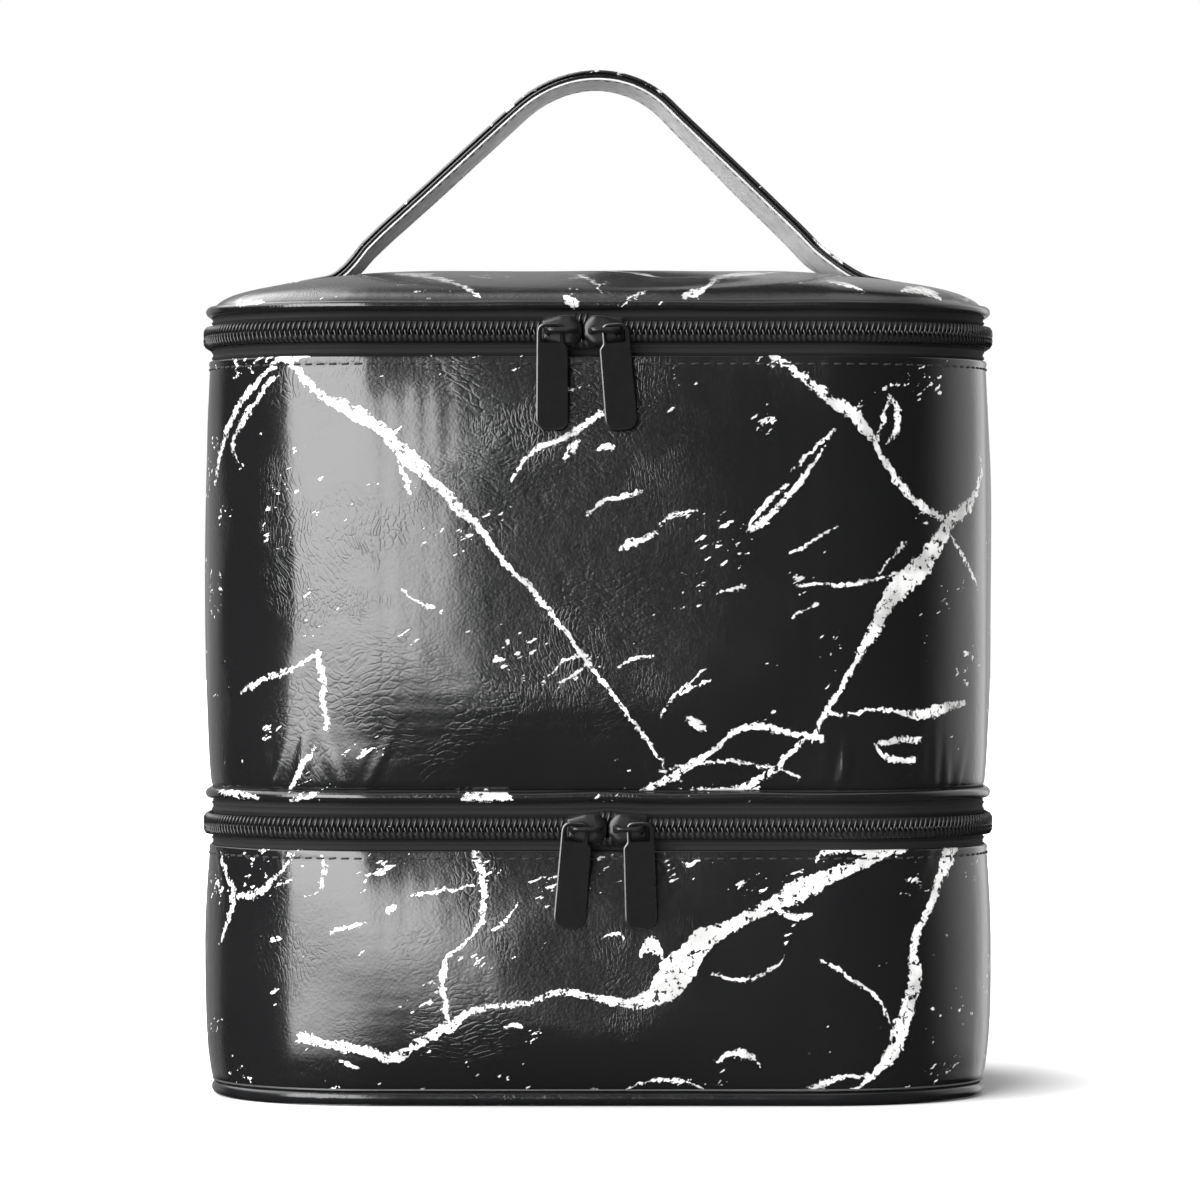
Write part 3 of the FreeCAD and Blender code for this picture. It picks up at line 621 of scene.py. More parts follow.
def strap_cloth():
    """The strap's matt backing, painted pale grey for the light on the strap's underside, paler again
    in random patches.
    """
    paint = Paint("strap_under", (0.2, 0.2, 0.2), 0.8, Specular_IOR_Level=0.2)
    place = paint.place()
    underside_light_mottle = paint.noise(place, 5, 4, 0.6)
    # painted light: the pale grey stands for light falling on the strap's underside, varied at random
    tone = paint.mix(underside_light_mottle, (0.32, 0.32, 0.32), (0.8, 0.8, 0.8))
    pale = paint.ramp(paint.noise(paint.warped(place, 6, 3, 3), 7, 3), 0.62, 0.66)
    paint.colour(paint.mix(paint.math("MULTIPLY", pale, 0.6), tone, (0.6, 0.6, 0.6)))
    paint.bump(paint.noise(place, 0.5, 3), 0.05, 0.5)
    return paint.made


def woven(name, colour, thread, rough=0.8, depth=0.12, sheen=0.06, uv=True):
    """A plain weave, with painted shade in the hollows between yarns; thread is the width of one yarn
    in millimetres.
    """
    paint = Paint(name, colour, rough, Sheen_Weight=sheen, Sheen_Roughness=0.4,
                  Specular_IOR_Level=0.25)
    place = paint.warped(paint.place(uv=uv), 6, 0.05)
    across = paint.wave(place, thread * 2, "X")
    along = paint.wave(place, thread * 2, "Y")
    weave = paint.math("MULTIPLY", across, along)
    cross = paint.math(
        "MULTIPLY", paint.math("SUBTRACT", 1.0, across), paint.math("SUBTRACT", 1.0, along)
    )
    height = paint.math("ADD", weave, cross)
    fuzz = paint.noise(place, 0.35, 2)
    paint.bump(height, depth, 0.8)
    paint.bump(fuzz, 0.05, 0.4)
    # painted shade: the colour follows the weave relief, lighter on the raised yarns and darker in the
    # hollows between them
    light = tuple(c * 2.2 for c in colour)
    tone = paint.math("MULTIPLY_ADD", height, 0.7, paint.math("MULTIPLY", fuzz, 0.3))
    paint.colour(paint.mix(tone, colour, light))
    paint.rough(paint.ramp(height, 0, 1, rough + 0.1, rough - 0.1))
    return paint.made


def enamel(name, colour, rough, wear=0.04, metallic=0.0, grain=0.3, shine=0.5):
    """Paint or polish on cast metal, with a slight orange peel and handling marks."""
    paint = Paint(name, colour, rough, Metallic=metallic, Specular_IOR_Level=shine)
    place = paint.place()
    marks = paint.noise(place, 2.5, 4, 0.6)
    streaks = paint.noise(paint.vector("MULTIPLY", place, (1, 1, 0.12)), 0.5, 2)
    light = tuple(c * 1.5 + 0.002 for c in colour)
    paint.colour(paint.mix(marks, colour, light))
    spread = paint.math("MULTIPLY_ADD", marks, wear * 2, rough - wear)
    paint.rough(paint.math("MULTIPLY_ADD", streaks, wear, spread))
    paint.bump(paint.noise(place, grain, 2), 0.01, 0.35)
    return paint.made


def nylon(name, colour, rough):
    """Smooth plastic thread or sheet, slightly mottled."""
    paint = Paint(name, colour, rough, Coat_Weight=0.15, Coat_Roughness=0.25)
    place = paint.place()
    paint.colour(paint.mix(paint.noise(place, 1.2, 2), colour, tuple(c * 1.8 for c in colour)))
    paint.bump(paint.noise(place, 0.25, 2), 0.02, 0.4)
    return paint.made


def fuzzy(name, colour, size, depth, rough=0.95):
    """Foam, board or felt: fine random relief and mottled colour."""
    paint = Paint(name, colour, rough, Sheen_Weight=0.15)
    place = paint.place()
    fine = paint.noise(place, size, 4, 0.7)
    paint.colour(paint.mix(fine, tuple(c * 0.7 for c in colour), tuple(c * 1.3 for c in colour)))
    paint.bump(fine, depth, 0.7)
    return paint.made


def behind(paint, place):
    """Random veins on the sides and the back only."""
    return paint.ramp(paint.parts(place)[1], -48, -30)


def everywhere(_paint, _place):
    """Random veins all over."""
    return 1.0


def off_front_slope(paint, place):
    """Random veins over the lid, but for the slope that the drawn ones cover."""
    return paint.ramp(paint.parts(place)[1], -62, -50)


marble_upper = marble("marble_upper", UPPER_VEINS, behind)
marble_lower = marble("marble_lower", LOWER_VEINS, behind)
marble_lid = marble("marble_lid", LID_VEINS, off_front_slope)
marble_cord = marble("marble_cord", CORD_VEINS, behind)
marble_trim = marble("marble_trim", (), everywhere)
trim_leather = plain_leather("trim_leather", (0.0055, 0.0056, 0.006), 1.0, 0.1)
hinge_leather = plain_leather("hinge_leather", (0.007, 0.007, 0.0075), 1.3, 0.15)
strap_under = strap_cloth()
edge_paint = plain_leather("edge_paint", (0.004, 0.004, 0.004), 0.5, 0.1)
tape_cloth = woven("tape_cloth", (0.0055, 0.0055, 0.0058), 0.42, 0.8, 0.12, 0.02)
coil_nylon = nylon("coil_nylon", (0.006, 0.006, 0.0063), 0.22)
thread_black = woven("thread_black", (0.011, 0.011, 0.012), 0.2, 0.55, 0.05, uv=False)
slider_enamel = enamel("slider_enamel", (0.004, 0.004, 0.0042), 0.2, shine=0.4)
pull_enamel = enamel("pull_enamel", (0.003, 0.003, 0.0032), 0.35, 0.05, shine=0.05)
pull_rim = enamel("pull_rim", (0.075, 0.075, 0.078), 0.26, 0.05, 0.9)
lining_cloth = woven("lining_cloth", (0.013, 0.013, 0.014), 0.3, 0.85, 0.06)
binding_cloth = woven("binding_cloth", (0.016, 0.016, 0.017), 0.6, 0.8, 0.15)
hook_cloth = fuzzy("hook_cloth", (0.008, 0.008, 0.008), 0.5, 0.4)
foam_grey = fuzzy("foam_grey", (0.12, 0.12, 0.125), 0.9, 0.3)
board_grey = fuzzy("board_grey", (0.30, 0.28, 0.25), 1.4, 0.1)
sheet_black = nylon("sheet_black", (0.03, 0.03, 0.03), 0.5)
lining_flat = woven("lining_flat", (0.013, 0.013, 0.014), 0.3, 0.85, 0.06, uv=False)

# ---------------------------------------------------------------- leather side panels


FRONT_SWELL, BACK_SWELL, SIDE_SWELL = 3.3, 2.4, 1.4
FRONT_REACH, BACK_REACH, SIDE_REACH = 108, 112, 64
EVEN_SWELL = 0.3
SEAM_DROP = 2.5


def bulge_along(u):
    """How far the wall swells at each length, most in the middle of each side."""
    from_front = np.abs(np.mod(u + AROUND / 2, AROUND) - AROUND / 2)
    from_back = AROUND / 2 - from_front
    side_middle = LINE_X + ARC + LINE_Y
    from_side = np.abs(from_front - side_middle)

    def hump(distance, reach):
        return np.cos(np.clip(distance / reach, 0, 1) * math.pi / 2) ** 2

    front = FRONT_SWELL * hump(from_front, FRONT_REACH)
    back = BACK_SWELL * hump(from_back, BACK_REACH)
    return EVEN_SWELL + front + back + SIDE_SWELL * hump(from_side, SIDE_REACH)


def gathers(seed, count, strongest):
    """Small pleats in the corners, where the seam draws the leather in."""
    draw = random.Random(seed)
    pleats = []
    for corner in (1, -1, 2, -2):
        start = LINE_X if abs(corner) == 1 else LINE_X + ARC + 2 * LINE_Y
        for _ in range(count):
            u = math.copysign(start + draw.uniform(0.02, 0.98) * ARC, corner)
            size = draw.uniform(0.45, 1.0) * strongest
            reach = draw.uniform(4, 15)
            pleats.append((u, size, reach, draw.uniform(1.1, 2.4), draw.uniform(-0.5, 0.5)))

    def relief(u, away):
        total = np.zeros_like(u)
        for at, size, reach, width, lean in pleats:
            off = np.mod(u - at + AROUND / 2, AROUND) - AROUND / 2 - lean * away
            fade = np.exp(-((away / reach) ** 2)) * (1 - np.exp(-away / 0.8))
            total += size * fade * (1 - 2 * (off / width) ** 2) * np.exp(-((off / width) ** 2))
        return total

    return relief


def cloth_relief(name, low, high):
    """What a leather cloth held along both edges adds to a panel, as a function."""
    us, levels = around(6.0), steps(low, high, 5.0)
    u, level = np.meshgrid(us, levels, indexing="ij")
    point, normal = outline(u)
    points = np.concatenate((point, level[..., None]), -1)
    rows, columns = u.shape
    cloth = add_mesh(name, points.reshape(-1, 3), grid_faces(rows, columns, True, False))
    held = cloth.vertex_groups.new(name="held")
    held.add([r * columns + c for r in range(rows) for c in (0, columns - 1)], 1.0, "REPLACE")
    made = cloth.modifiers.new("Cloth", "CLOTH")
    made.settings.quality = 6
    made.settings.mass = 0.4
    made.settings.tension_stiffness = 18
    made.settings.compression_stiffness = 18
    made.settings.shear_stiffness = 8
    made.settings.bending_stiffness = 0.8
    made.settings.shrink_min = -0.010
    made.settings.use_pressure = True
    made.settings.uniform_pressure_force = 2.5
    made.settings.effector_weights.gravity = 0
    made.settings.vertex_group_mass = "held"
    made.collision_settings.use_collision = False
    made.point_cache.frame_end = 24
    for number in range(1, 25):
        bpy.context.scene.frame_set(number)
    graph = bpy.context.evaluated_depsgraph_get()
    result = cloth.evaluated_get(graph).to_mesh()
    moved = np.array([v.co[:] for v in result.vertices]).reshape(rows, columns, 3) / MM
    bpy.context.scene.frame_set(1)
    bpy.data.objects.remove(cloth)
    swell = ((moved[..., :2] - point) * normal).sum(-1)
    print(name, "swell", round(float(swell.min()), 2), round(float(swell.max()), 2))
    smooth = swell - np.median(swell)
    for _ in range(4):
        smooth = (np.roll(smooth, 1, 0) + 2 * smooth + np.roll(smooth, -1, 0)) / 4
        smooth[:, 1:-1] = (smooth[:, :-2] + 2 * smooth[:, 1:-1] + smooth[:, 2:]) / 4
    smooth = np.clip(smooth * 0.35, -0.35, 1.1)
    smooth[:, 0] = smooth[:, -1] = 0

    def relief(u, level):
        a = np.mod(u - us[0], AROUND) / AROUND * rows
        b = np.clip((level - low) / (high - low), 0, 1) * (columns - 1)
        r, c = np.floor(a).astype(int), np.minimum(np.floor(b).astype(int), columns - 2)
        s, t = a - r, b - c
        s, t = s * s * (3 - 2 * s), t * t * (3 - 2 * t)
        r, after = r % rows, (r + 1) % rows
        near = smooth[r, c] * (1 - t) + smooth[r, c + 1] * t
        far = smooth[after, c] * (1 - t) + smooth[after, c + 1] * t
        return near * (1 - s) + far * s

    return relief


# the pulls hang 4.2 mm in front of the side panels
SWELL_LIMIT = 3.8


def held_below(values, most, softness=0.16):
    """The values, but levelling off smoothly just under a limit."""
    return most - softness * np.logaddexp(0, (most - values) / softness)


def panel_shift(low, high, relief, pleats, pleats_up, pull_in):
    """The panel's whole relief: swell, cloth, pleats and the seams at its edges."""
    wave, waves = noise_1d(7 + int(low), AROUND, 40), broad_waves(int(high), 52, 8)

    def shift(u, out, level):
        t = np.clip((level - low) / (high - low), 0, 1)
        skin = out > -0.6
        swell = bulge_along(u) * (1 - np.abs(2 * t - 1) ** 3.2)
        away = (level - low) if pleats_up else (high - level)
        total = swell + relief(u, level) + pleats(u, np.abs(away))
        total += 0.3 * waves(u, level) * (1 - np.abs(2 * t - 1) ** 4)
        total -= pull_in * np.exp(-(level - low) / (2.6 if pleats_up else 4.5))
        total -= 0.28 * np.exp(-(((level - (high - SEAM_DROP)) / 0.8) ** 2))
        total += 0.15 * wave(u) * np.exp(-(((level - high) / 8) ** 2))
        total = held_below(total, SWELL_LIMIT)
        return np.where(skin, total, np.minimum(total, 0) * 0.6), np.zeros_like(u)

    return shift


def panel_profile(low, high):
    """Outer face upwards, a rolled top edge, and down the inner face."""
    outer = [(0.0, level) for level in steps(low + 0.5, high - 0.9, 1.5)]
    roll = [(-0.12, high - 0.35), (-0.4, high - 0.05), (-0.75, high), (-1.1, high - 0.2)]
    inner = [(-1.2, high - 0.8), (-1.2, (low + high) / 2), (-1.2, low + 0.3)]
    return outer + roll + inner + [(-0.9, low), (-0.4, low + 0.05)]


def stitch_row(name, level, shift, body, lift=0.1):
    """A row of sunk stitches all round the case."""
    draw = random.Random(name)
    count = int(AROUND / STITCH_PITCH)
    paths = []
    for n in range(count):
        middle = -AROUND / 2 + (n + 0.5) * AROUND / count
        half = 1.32 + draw.uniform(-0.08, 0.08)
        tilt = draw.uniform(-0.1, 0.1) + 0.06
        t = STITCH_STEPS
        u = middle + t * half
        z = level + t * tilt
        out = np.array((-0.55, -0.02, lift + 0.06, -0.02, -0.55))
        more = shift(u, np.zeros_like(u), z)[0]
        point, normal = outline(u)
        place = point + normal * (out + more)[:, None]
        paths.append(np.concatenate((place, z[:, None]), 1))
    obj = tubes(name, paths, 0.34, 6)
    return finish_piece(obj, body, "zip_tape", thread_black)


upper_low, upper_high = mm_box("upper_side_panel")[0][2], mm_box("upper_side_panel")[1][2]
lower_low, lower_high = mm_box("lower_side_panel")[0][2], mm_box("lower_side_panel")[1][2]
upper_shift = panel_shift(
    upper_low, upper_high, cloth_relief("upper_cloth", upper_low, upper_high),
    gathers(11, 7, 0.62), True, 1.3,
)
lower_shift = panel_shift(
    lower_low, lower_high, cloth_relief("lower_cloth", lower_low, lower_high),
    gathers(23, 4, 0.3), False, 1.35,
)
upper_profile = panel_profile(upper_low, upper_high)
lower_profile = panel_profile(lower_low, lower_high)
upper_panel = swept("upper_panel", upper_profile, around(1.5), shift=upper_shift)
finish_piece(upper_panel, "upper_case", "marble_leather", marble_upper, "upper_side_panel")
lower_panel = swept("lower_panel", lower_profile, around(1.5), shift=lower_shift)
finish_piece(lower_panel, "lower_case", "marble_leather", marble_lower, "lower_side_panel")
stitch_row("upper_panel_stitches", upper_high - SEAM_DROP, upper_shift, "upper_case")
stitch_row("lower_panel_stitches", lower_high - SEAM_DROP, lower_shift, "lower_case")

# ---------------------------------------------------------------- covered cords


def covered_cord(name, inset, level, radius, body, slot, material, node, wobble, flat=None):
    """A leather-covered cord along a seam, flat behind where it is sewn to the tape."""
    angles = np.linspace(0, 2 * math.pi, 17)[:-1]
    ring = [(-inset + radius * math.cos(a), level + radius * math.sin(a)) for a in angles]
    if flat is not None:
        ring = [(max(out, -flat), z) for out, z in ring]
    waves = noise_1d(len(name) * 13, AROUND, 60), noise_1d(int(level * 10), AROUND, 34)

    def shift(u, out, z):
        live = out > -0.9 if flat is not None else np.ones_like(out, bool)
        return np.where(live, wobble * 0.5 * waves[0](u), 0), wobble * waves[1](u) * live

    obj = swept(name, ring, around(2.0), shift=shift)
    return finish_piece(obj, body, slot, material, node)


covered_cord("base_cord", 2.9, 2.35, 2.05, "lower_case", "trim_leather", trim_leather,
             "lower_base_piping", 0.12)
covered_cord("middle_cord", 0.6, 89.8, 1.6, "upper_case", "marble_leather", marble_cord,
             "upper_base_piping", 0.3, 1.2)
covered_cord("lid_cord", 0.6, 232.5, 1.5, "lid", "marble_leather", marble_lid,
             "lid_piping", 0.12, 1.2)

# ---------------------------------------------------------------- zips


def splay(u, parting):
    """How far the zip's halves part between the noses of its two sliders."""
    meet = -4.4 if parting > 150 else 2.8
    return np.clip(1 - ((u - meet) / 8.5) ** 2, 0, 1) ** 1.5


def zip_tape(name, parting, way, far, body, node):
    """Half a zip's tape, from under the leather to the coil, with raised guard lines."""
    edge = parting + way * GAP
    spots = [(-1.9, edge), (-1.9, far), (-1.2, far)]
    for guard in (6.1, 4.3):
        at = parting + way * guard
        for step, lift in ((0.5, 0), (0.25, 0.3), (0.0, 0.38), (-0.25, 0.3), (-0.5, 0)):
            spots.append((-1.2 + lift, at + way * step))
    spots.append((-1.2, edge))

    def shift(u, out, level):
        near = np.clip(1 - np.abs(level - parting) / 7, 0, 1)
        return 0.25 * splay(u, parting) * near, way * 1.3 * splay(u, parting) * near

    us = np.concatenate((steps(-AROUND / 2 + TAPE_END, -30, 2.5)[:-1], steps(-30, 30, 1.0)[:-1],
                         steps(30, AROUND / 2 - TAPE_END, 2.5)))
    obj = swept(name, spots, us, closed=False, shift=shift)
    return finish_piece(obj, body, "zip_tape", tape_cloth, node)


def zip_coil(name, parting, way, body, node):
    """Half a zip's coil: a slanting turn for each tooth, whose head hooks past the middle."""
    end = AROUND / 2 - ZIP_END
    count = int(2 * end / COIL_PITCH)
    turn = np.array(((0.86, -0.9, -3.05), (0.8, 0.75, -2.75), (0.6, 1.22, -1.9), (0.3, 1.3, -0.9),
                     (0.08, 1.22, 0.0), (0.0, 0.8, 0.62), (0.0, -0.3, 0.62), (0.2, -0.85, -0.4)))
    draw = random.Random(name)
    paths = []
    for n in range(count):
        start = -end + (n + (0.5 if way > 0 else 0.0)) * COIL_PITCH
        u = start + turn[:, 0] + draw.uniform(-0.05, 0.05)
        apart = splay(u, parting)
        z = parting + way * (-turn[:, 2] + 2.1 * apart)
        out = turn[:, 1] + draw.uniform(-0.04, 0.04) + 0.35 * apart
        point, normal = outline(u)
        paths.append(np.concatenate((point + normal * out[:, None], z[:, None]), 1))
    obj = tubes(name, paths, 0.37, 6)
    return finish_piece(obj, body, "zip_coil", coil_nylon, node)


def zip_core(name, parting, way, body):
    """The filler cord and the sewing thread that hold a coil to its tape."""
    profile = [(-1.15, -2.9), (0.25, -2.75), (0.5, -2.0), (0.5, -1.2), (0.2, -0.75), (-1.15, -0.7)]
    profile = [(out, parting - way * z) for out, z in profile]

    def shift(u, out, level):
        return 0.25 * splay(u, parting), way * 1.9 * splay(u, parting)

    us = np.concatenate((steps(-AROUND / 2 + ZIP_END, -30, 2.5)[:-1], steps(-30, 30, 1.0)[:-1],
                         steps(30, AROUND / 2 - ZIP_END, 2.5)))
    obj = swept(name, profile, us, closed=False, shift=shift)
    return finish_piece(obj, body, "zip_tape", thread_black)


ZIPS = (
    ("lower_zip", LOWER_PARTING, "lower_case", "upper_case", 68.5, 97.4),
    ("upper_zip", UPPER_PARTING, "upper_case", "lid", 212.0, 233.4),
)
for kind, parting, under, over, bottom, top in ZIPS:
    for place, way, far, body in (("below", -1, bottom, under), ("above", 1, top, over)):
        zip_tape(f"{kind}_cloth_{place}", parting, way, far, body, f"{kind}_tape_{place}")
        zip_coil(f"{kind}_teeth_{place}", parting, way, body, f"{kind}_coil_{place}")
        zip_core(f"{kind}_core_{place}", parting, way, body)

# ---------------------------------------------------------------- lid

LID_LOW = 232.0
LID_RISE = mm_box("lid_top_panel")[1][2] - LID_LOW - 4.4


def lid_level(depth):
    """Height of the lid's dome, at a depth in from the case's outline."""
    edge = 4.4 * (1 - np.exp(-depth / 3.4))
    return LID_LOW + edge + LID_RISE * (1 - (1 - np.minimum(depth, 85) / 85) ** 2)


def corner_radius(depth):
    """The lid's corner radius at a depth in from the case's outline."""
    return np.interp(depth, (0, 3.2, 36, 50, 80, 86), (50, 46.8, 14, 6, 4, 2))


def capped_rings(name, rings, smooth=True, uvs=None):
    """A solid from rings of as many points each, its first and last ring filled."""
    rows, columns = len(rings), len(rings[0])
    faces = grid_faces(rows, columns, False, True)
    faces.append(tuple(range(columns)))
    faces.append(tuple((rows - 1) * columns + c for c in reversed(range(columns))))
    obj = add_mesh(name, np.concatenate(rings), faces, uvs, smooth)
    outward(obj)
    return obj


def lid_panel():
    us = around(1.9)
    depths = np.concatenate((steps(1.3, 6, 0.7)[:-1], steps(6, 30, 1.6)[:-1], steps(30, 85.5, 3)))
    pleats, wave = gathers(5, 6, 0.4), broad_waves(3, 42)
    top, under = [], []
    for depth in depths:
        point, _ = outline(us, depth, float(corner_radius(depth)))
        level = lid_level(depth)
        relief = pleats(us, np.full_like(us, depth - 1.3)) * 0.6
        relief = relief + 0.35 * wave(point[:, 0], point[:, 1]) * min(1, (depth - 1.3) / 9)
        top.append(np.column_stack((point, level + relief)))
        under.append(np.column_stack((point, np.full(len(us), level - 1.1))))
    return capped_rings("lid_cover", under[::-1] + top)


lid_cover = finish_piece(lid_panel(), "lid", "marble_leather", marble_lid, "lid_top_panel")

# ---------------------------------------------------------------- handle

STRAP_HALF = mm_box("handle_strap_top")[1][1]
STRAP_TOP = mm_box("handle_strap_top")[1][2]
STRAP_RADIUS = 35.0
STRAP_SLOPE = math.radians(43)
STRAP_LEG = 54.0
STRAP_THICK = 3.2
TAB_TIP = mm_box("handle_tab_right")[1][0]


def strap_half_path():
    """(x, z) of the strap's outer face, from its top down to the end of the right tab."""
    middle = STRAP_TOP - STRAP_RADIUS
    arc = [(STRAP_RADIUS * math.sin(a), middle + STRAP_RADIUS * math.cos(a))
           for a in np.linspace(0, STRAP_SLOPE, 22)]
    down = np.array((math.cos(STRAP_SLOPE), -math.sin(STRAP_SLOPE)))
    leg = [np.array(arc[-1]) + down * along for along in steps(0, STRAP_LEG, 1.3)[1:]]
    start = leg[-1]
    foot = np.array((83.0, float(lid_level(HALF_X - 83.0)) + 2.3))
    tip = np.array((TAB_TIP, float(lid_level(HALF_X - TAB_TIP)) + 1.9))
    along_lid = (tip - foot) / np.linalg.norm(tip - foot)
    p = start, start + down * 9, foot - along_lid * 6, foot
    bend = [p[0] * (1 - t) ** 3 + 3 * p[1] * t * (1 - t) ** 2 + 3 * p[2] * t * t * (1 - t)
            + p[3] * t ** 3 for t in np.linspace(0, 1, 19)[1:]]
    tab = [foot + (tip - foot) * t for t in np.linspace(0, 1, 11)[1:]]
    return np.array(arc + leg + bend + tab)


def strap_path():
    """The whole outer face from left tab to right, leaning a little to the left."""
    half = strap_half_path()
    left = half[:0:-1] * (-1, 1)
    path = np.vstack((left, half))
    lean = np.interp(path[:, 1], (246, 255, 271, 296, STRAP_TOP), (0, -2.3, -1.7, -1.1, -0.3))
    path[:, 0] += lean
    return path


STRAP = strap_path()
STRAP_AT = np.concatenate(([0], np.cumsum(np.linalg.norm(np.diff(STRAP, axis=0), axis=1))))
STRAP_LONG = STRAP_AT[-1]


def on_strap(s, y, depth):
    """Points on the strap: s along it, y across, depth in from its outer face.

    The strap leans over a little, so that its back edge is the lower one.
    """
    s, y, depth = np.broadcast_arrays(s, y, depth)
    share = (0.0, 0.13, 0.25, 0.5, 0.75, 0.87, 1.0)
    lean = np.interp(s / STRAP_LONG, share, (0.0, 0.06, 0.065, 0.045, 0.12, 0.13, 0.0))
    depth = depth + (y + STRAP_HALF) * lean
    x, z = (np.interp(s, STRAP_AT, STRAP[:, k]) for k in (0, 1))
    ahead = [np.interp(np.minimum(s + 0.8, STRAP_LONG), STRAP_AT, STRAP[:, k]) for k in (0, 1)]
    back = [np.interp(np.maximum(s - 0.8, 0), STRAP_AT, STRAP[:, k]) for k in (0, 1)]
    dx, dz = ahead[0] - back[0], ahead[1] - back[1]
    length = np.hypot(dx, dz)
    return np.stack((x + dz / length * depth, y, z - dx / length * depth), -1)


strap_wave = broad_waves(17, 30, 5)


def strap_layer(name, section, material, nodes, rows=150):
    """A layer of the strap with a closed section of (y, depth) points."""
    section = np.array(section)
    rings = []
    for s in np.linspace(0.15, STRAP_LONG - 0.15, rows):
        end = 1 - 0.1 * np.exp(-min(s, STRAP_LONG - s) / 1.2)
        flare = 1 + 0.07 * np.interp(min(s, STRAP_LONG - s), (12, 24), (1, 0))
        soft = 0.16 * strap_wave(s, section[:, 0] * 0.6)
        rings.append(on_strap(s, section[:, 0] * flare * end, section[:, 1] + soft))
    obj = capped_rings(name, rings)
    obj.data.materials.append(material)
    if nodes:
        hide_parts(*nodes)
    return obj


def bent_section(half, top, bottom, crown, edge=0.35):
    """A flat band's section, crowned on its top, with rounded edges."""
    across = np.linspace(-1, 1, 25)
    upper = [(half * t, top - crown * (1 - t ** 4)) for t in across]
    lower = [(half * t, bottom) for t in across[::-1]]
    upper[0] = (-half + edge * 0.3, top + edge)
    upper[-1] = (half - edge * 0.3, top + edge)
    return upper + lower


def bend_over_lid(obj):
    """Bakes the piece's placement into its mesh."""
    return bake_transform(obj)


strap_skin = strap_layer(
    "strap_skin", bent_section(STRAP_HALF, 0.15, 1.0, 0.25), marble_trim,
    ("handle_strap_top", "handle_flex_left", "handle_flex_right", "handle_tab_left",
     "handle_tab_right"),
)
strap_filling = strap_layer(
    "strap_filling", bent_section(STRAP_HALF - 0.35, 0.9, 2.4, 0.0), edge_paint,
    ("handle_strap_core",),
)
strap_back = strap_layer(
    "strap_back", bent_section(STRAP_HALF, 2.35, STRAP_THICK - 0.1, 0.0), strap_under,
    ("handle_strap_lining",),
)


def strap_stitches():
    """Rows near both edges, on both faces, and a box of stitches on each tab."""
    draw = random.Random(41)
    paths = []

    def add(s, y, depth, out, along=1.25, across=0.0):
        t = np.array((-1, -0.75, 0, 0.75, 1.0))
        lift = np.array((0.5, 0.16, 0.06, 0.16, 0.5)) * out
        wander = draw.uniform(-0.07, 0.07)
        paths.append(on_strap(s + t * along, y + t * across + wander, depth + lift))

    for y in (-STRAP_HALF + 2.2, STRAP_HALF - 2.2):
        for s in np.arange(16.5, STRAP_LONG - 16, 3.4):
            add(s, y, 0.0, 1)
            add(s + 1.7, y, STRAP_THICK - 0.1, -1)
        for end in (0, 1):
            for k in range(4):
                s = 2.6 + k * 3.4
                add(STRAP_LONG - s if end else s, y, 0.0, 1)
    for s in (1.6, 14.6):
        for y in np.arange(-STRAP_HALF + 4, STRAP_HALF - 3, 3.3):
            for end in (0, 1):
                add(STRAP_LONG - s if end else s, y, 0.0, 1, 0.0, 1.25)
    return tubes("strap_stitches", paths, 0.2, 5)


stitches = strap_stitches()
stitches.data.materials.append(thread_black)
for piece in (strap_skin, strap_filling, strap_back, stitches):
    bend_over_lid(piece)

# ---------------------------------------------------------------- hinge strips


def hinge_strip(name, node, parting):
    """A leather strip across the back that folds where two walls part."""
    low, high = mm_box(node)
    us = steps(AROUND / 2 - HINGE_HALF, AROUND / 2 + HINGE_HALF, 2.2)
    levels = np.concatenate((steps(low[2], parting - 5, 1.6)[:-1],
                             steps(parting - 5, parting + 5, 0.6)[:-1],
                             steps(parting + 5, high[2], 1.6)))
    profile = [(-1.25, z) for z in levels] + [(-1.85, z) for z in levels[::-1]]
    wave = noise_1d(int(parting), AROUND, 90)

    def shift(u, out, level):
        fold = np.exp(-(((level - parting) / 1.1) ** 2))
        roll = np.exp(-(((level - parting) / 3.4) ** 2))
        skin = out > -1.5
        more = skin * (0.42 * roll - 0.5 * fold + 0.12 * wave(u) * roll)
        return np.where(skin, more, -0.05 * roll), np.zeros_like(u)

    obj = swept(name, profile, us, closed=False, shift=shift)
    obj.data.materials.append(hinge_leather)
    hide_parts(node)
    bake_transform(obj)
    return obj


hinge_strip("case_hinge_leather", "case_hinge_strip", LOWER_PARTING)
hinge_strip("lid_hinge_leather", "lid_hinge_strip", UPPER_PARTING)
for kind, parting, body, way in (
    ("case", LOWER_PARTING, "lower_case", -1),
    ("case", LOWER_PARTING, "upper_case", 1),
    ("lid", UPPER_PARTING, "upper_case", -1),
    ("lid", UPPER_PARTING, "lid", 1),
):
    level = parting + way * 5.0
    paths = []
    for u in np.arange(AROUND / 2 - HINGE_HALF + 3, AROUND / 2 + HINGE_HALF - 3, 3.4):
        t = STITCH_STEPS
        point, normal = outline(u + t * 1.3)
        out = -1.2 + np.array((-0.5, 0.0, 0.12, 0.0, -0.5))
        paths.append(np.column_stack((point + normal * out[:, None], level + t * 0.05)))
    side = "low" if way < 0 else "high"
    finish_piece(tubes(f"{kind}_hinge_stitches_{side}", paths, 0.26, 5), body, "zip_tape",
                 thread_black)

# ---------------------------------------------------------------- sliders and pulls

SLIDER_HALF = 5.9
TAIL_POST = 3.9
NOSE_POST = -3.5
PULL_BACK = 92.2
PULL_FRONT = 93.4


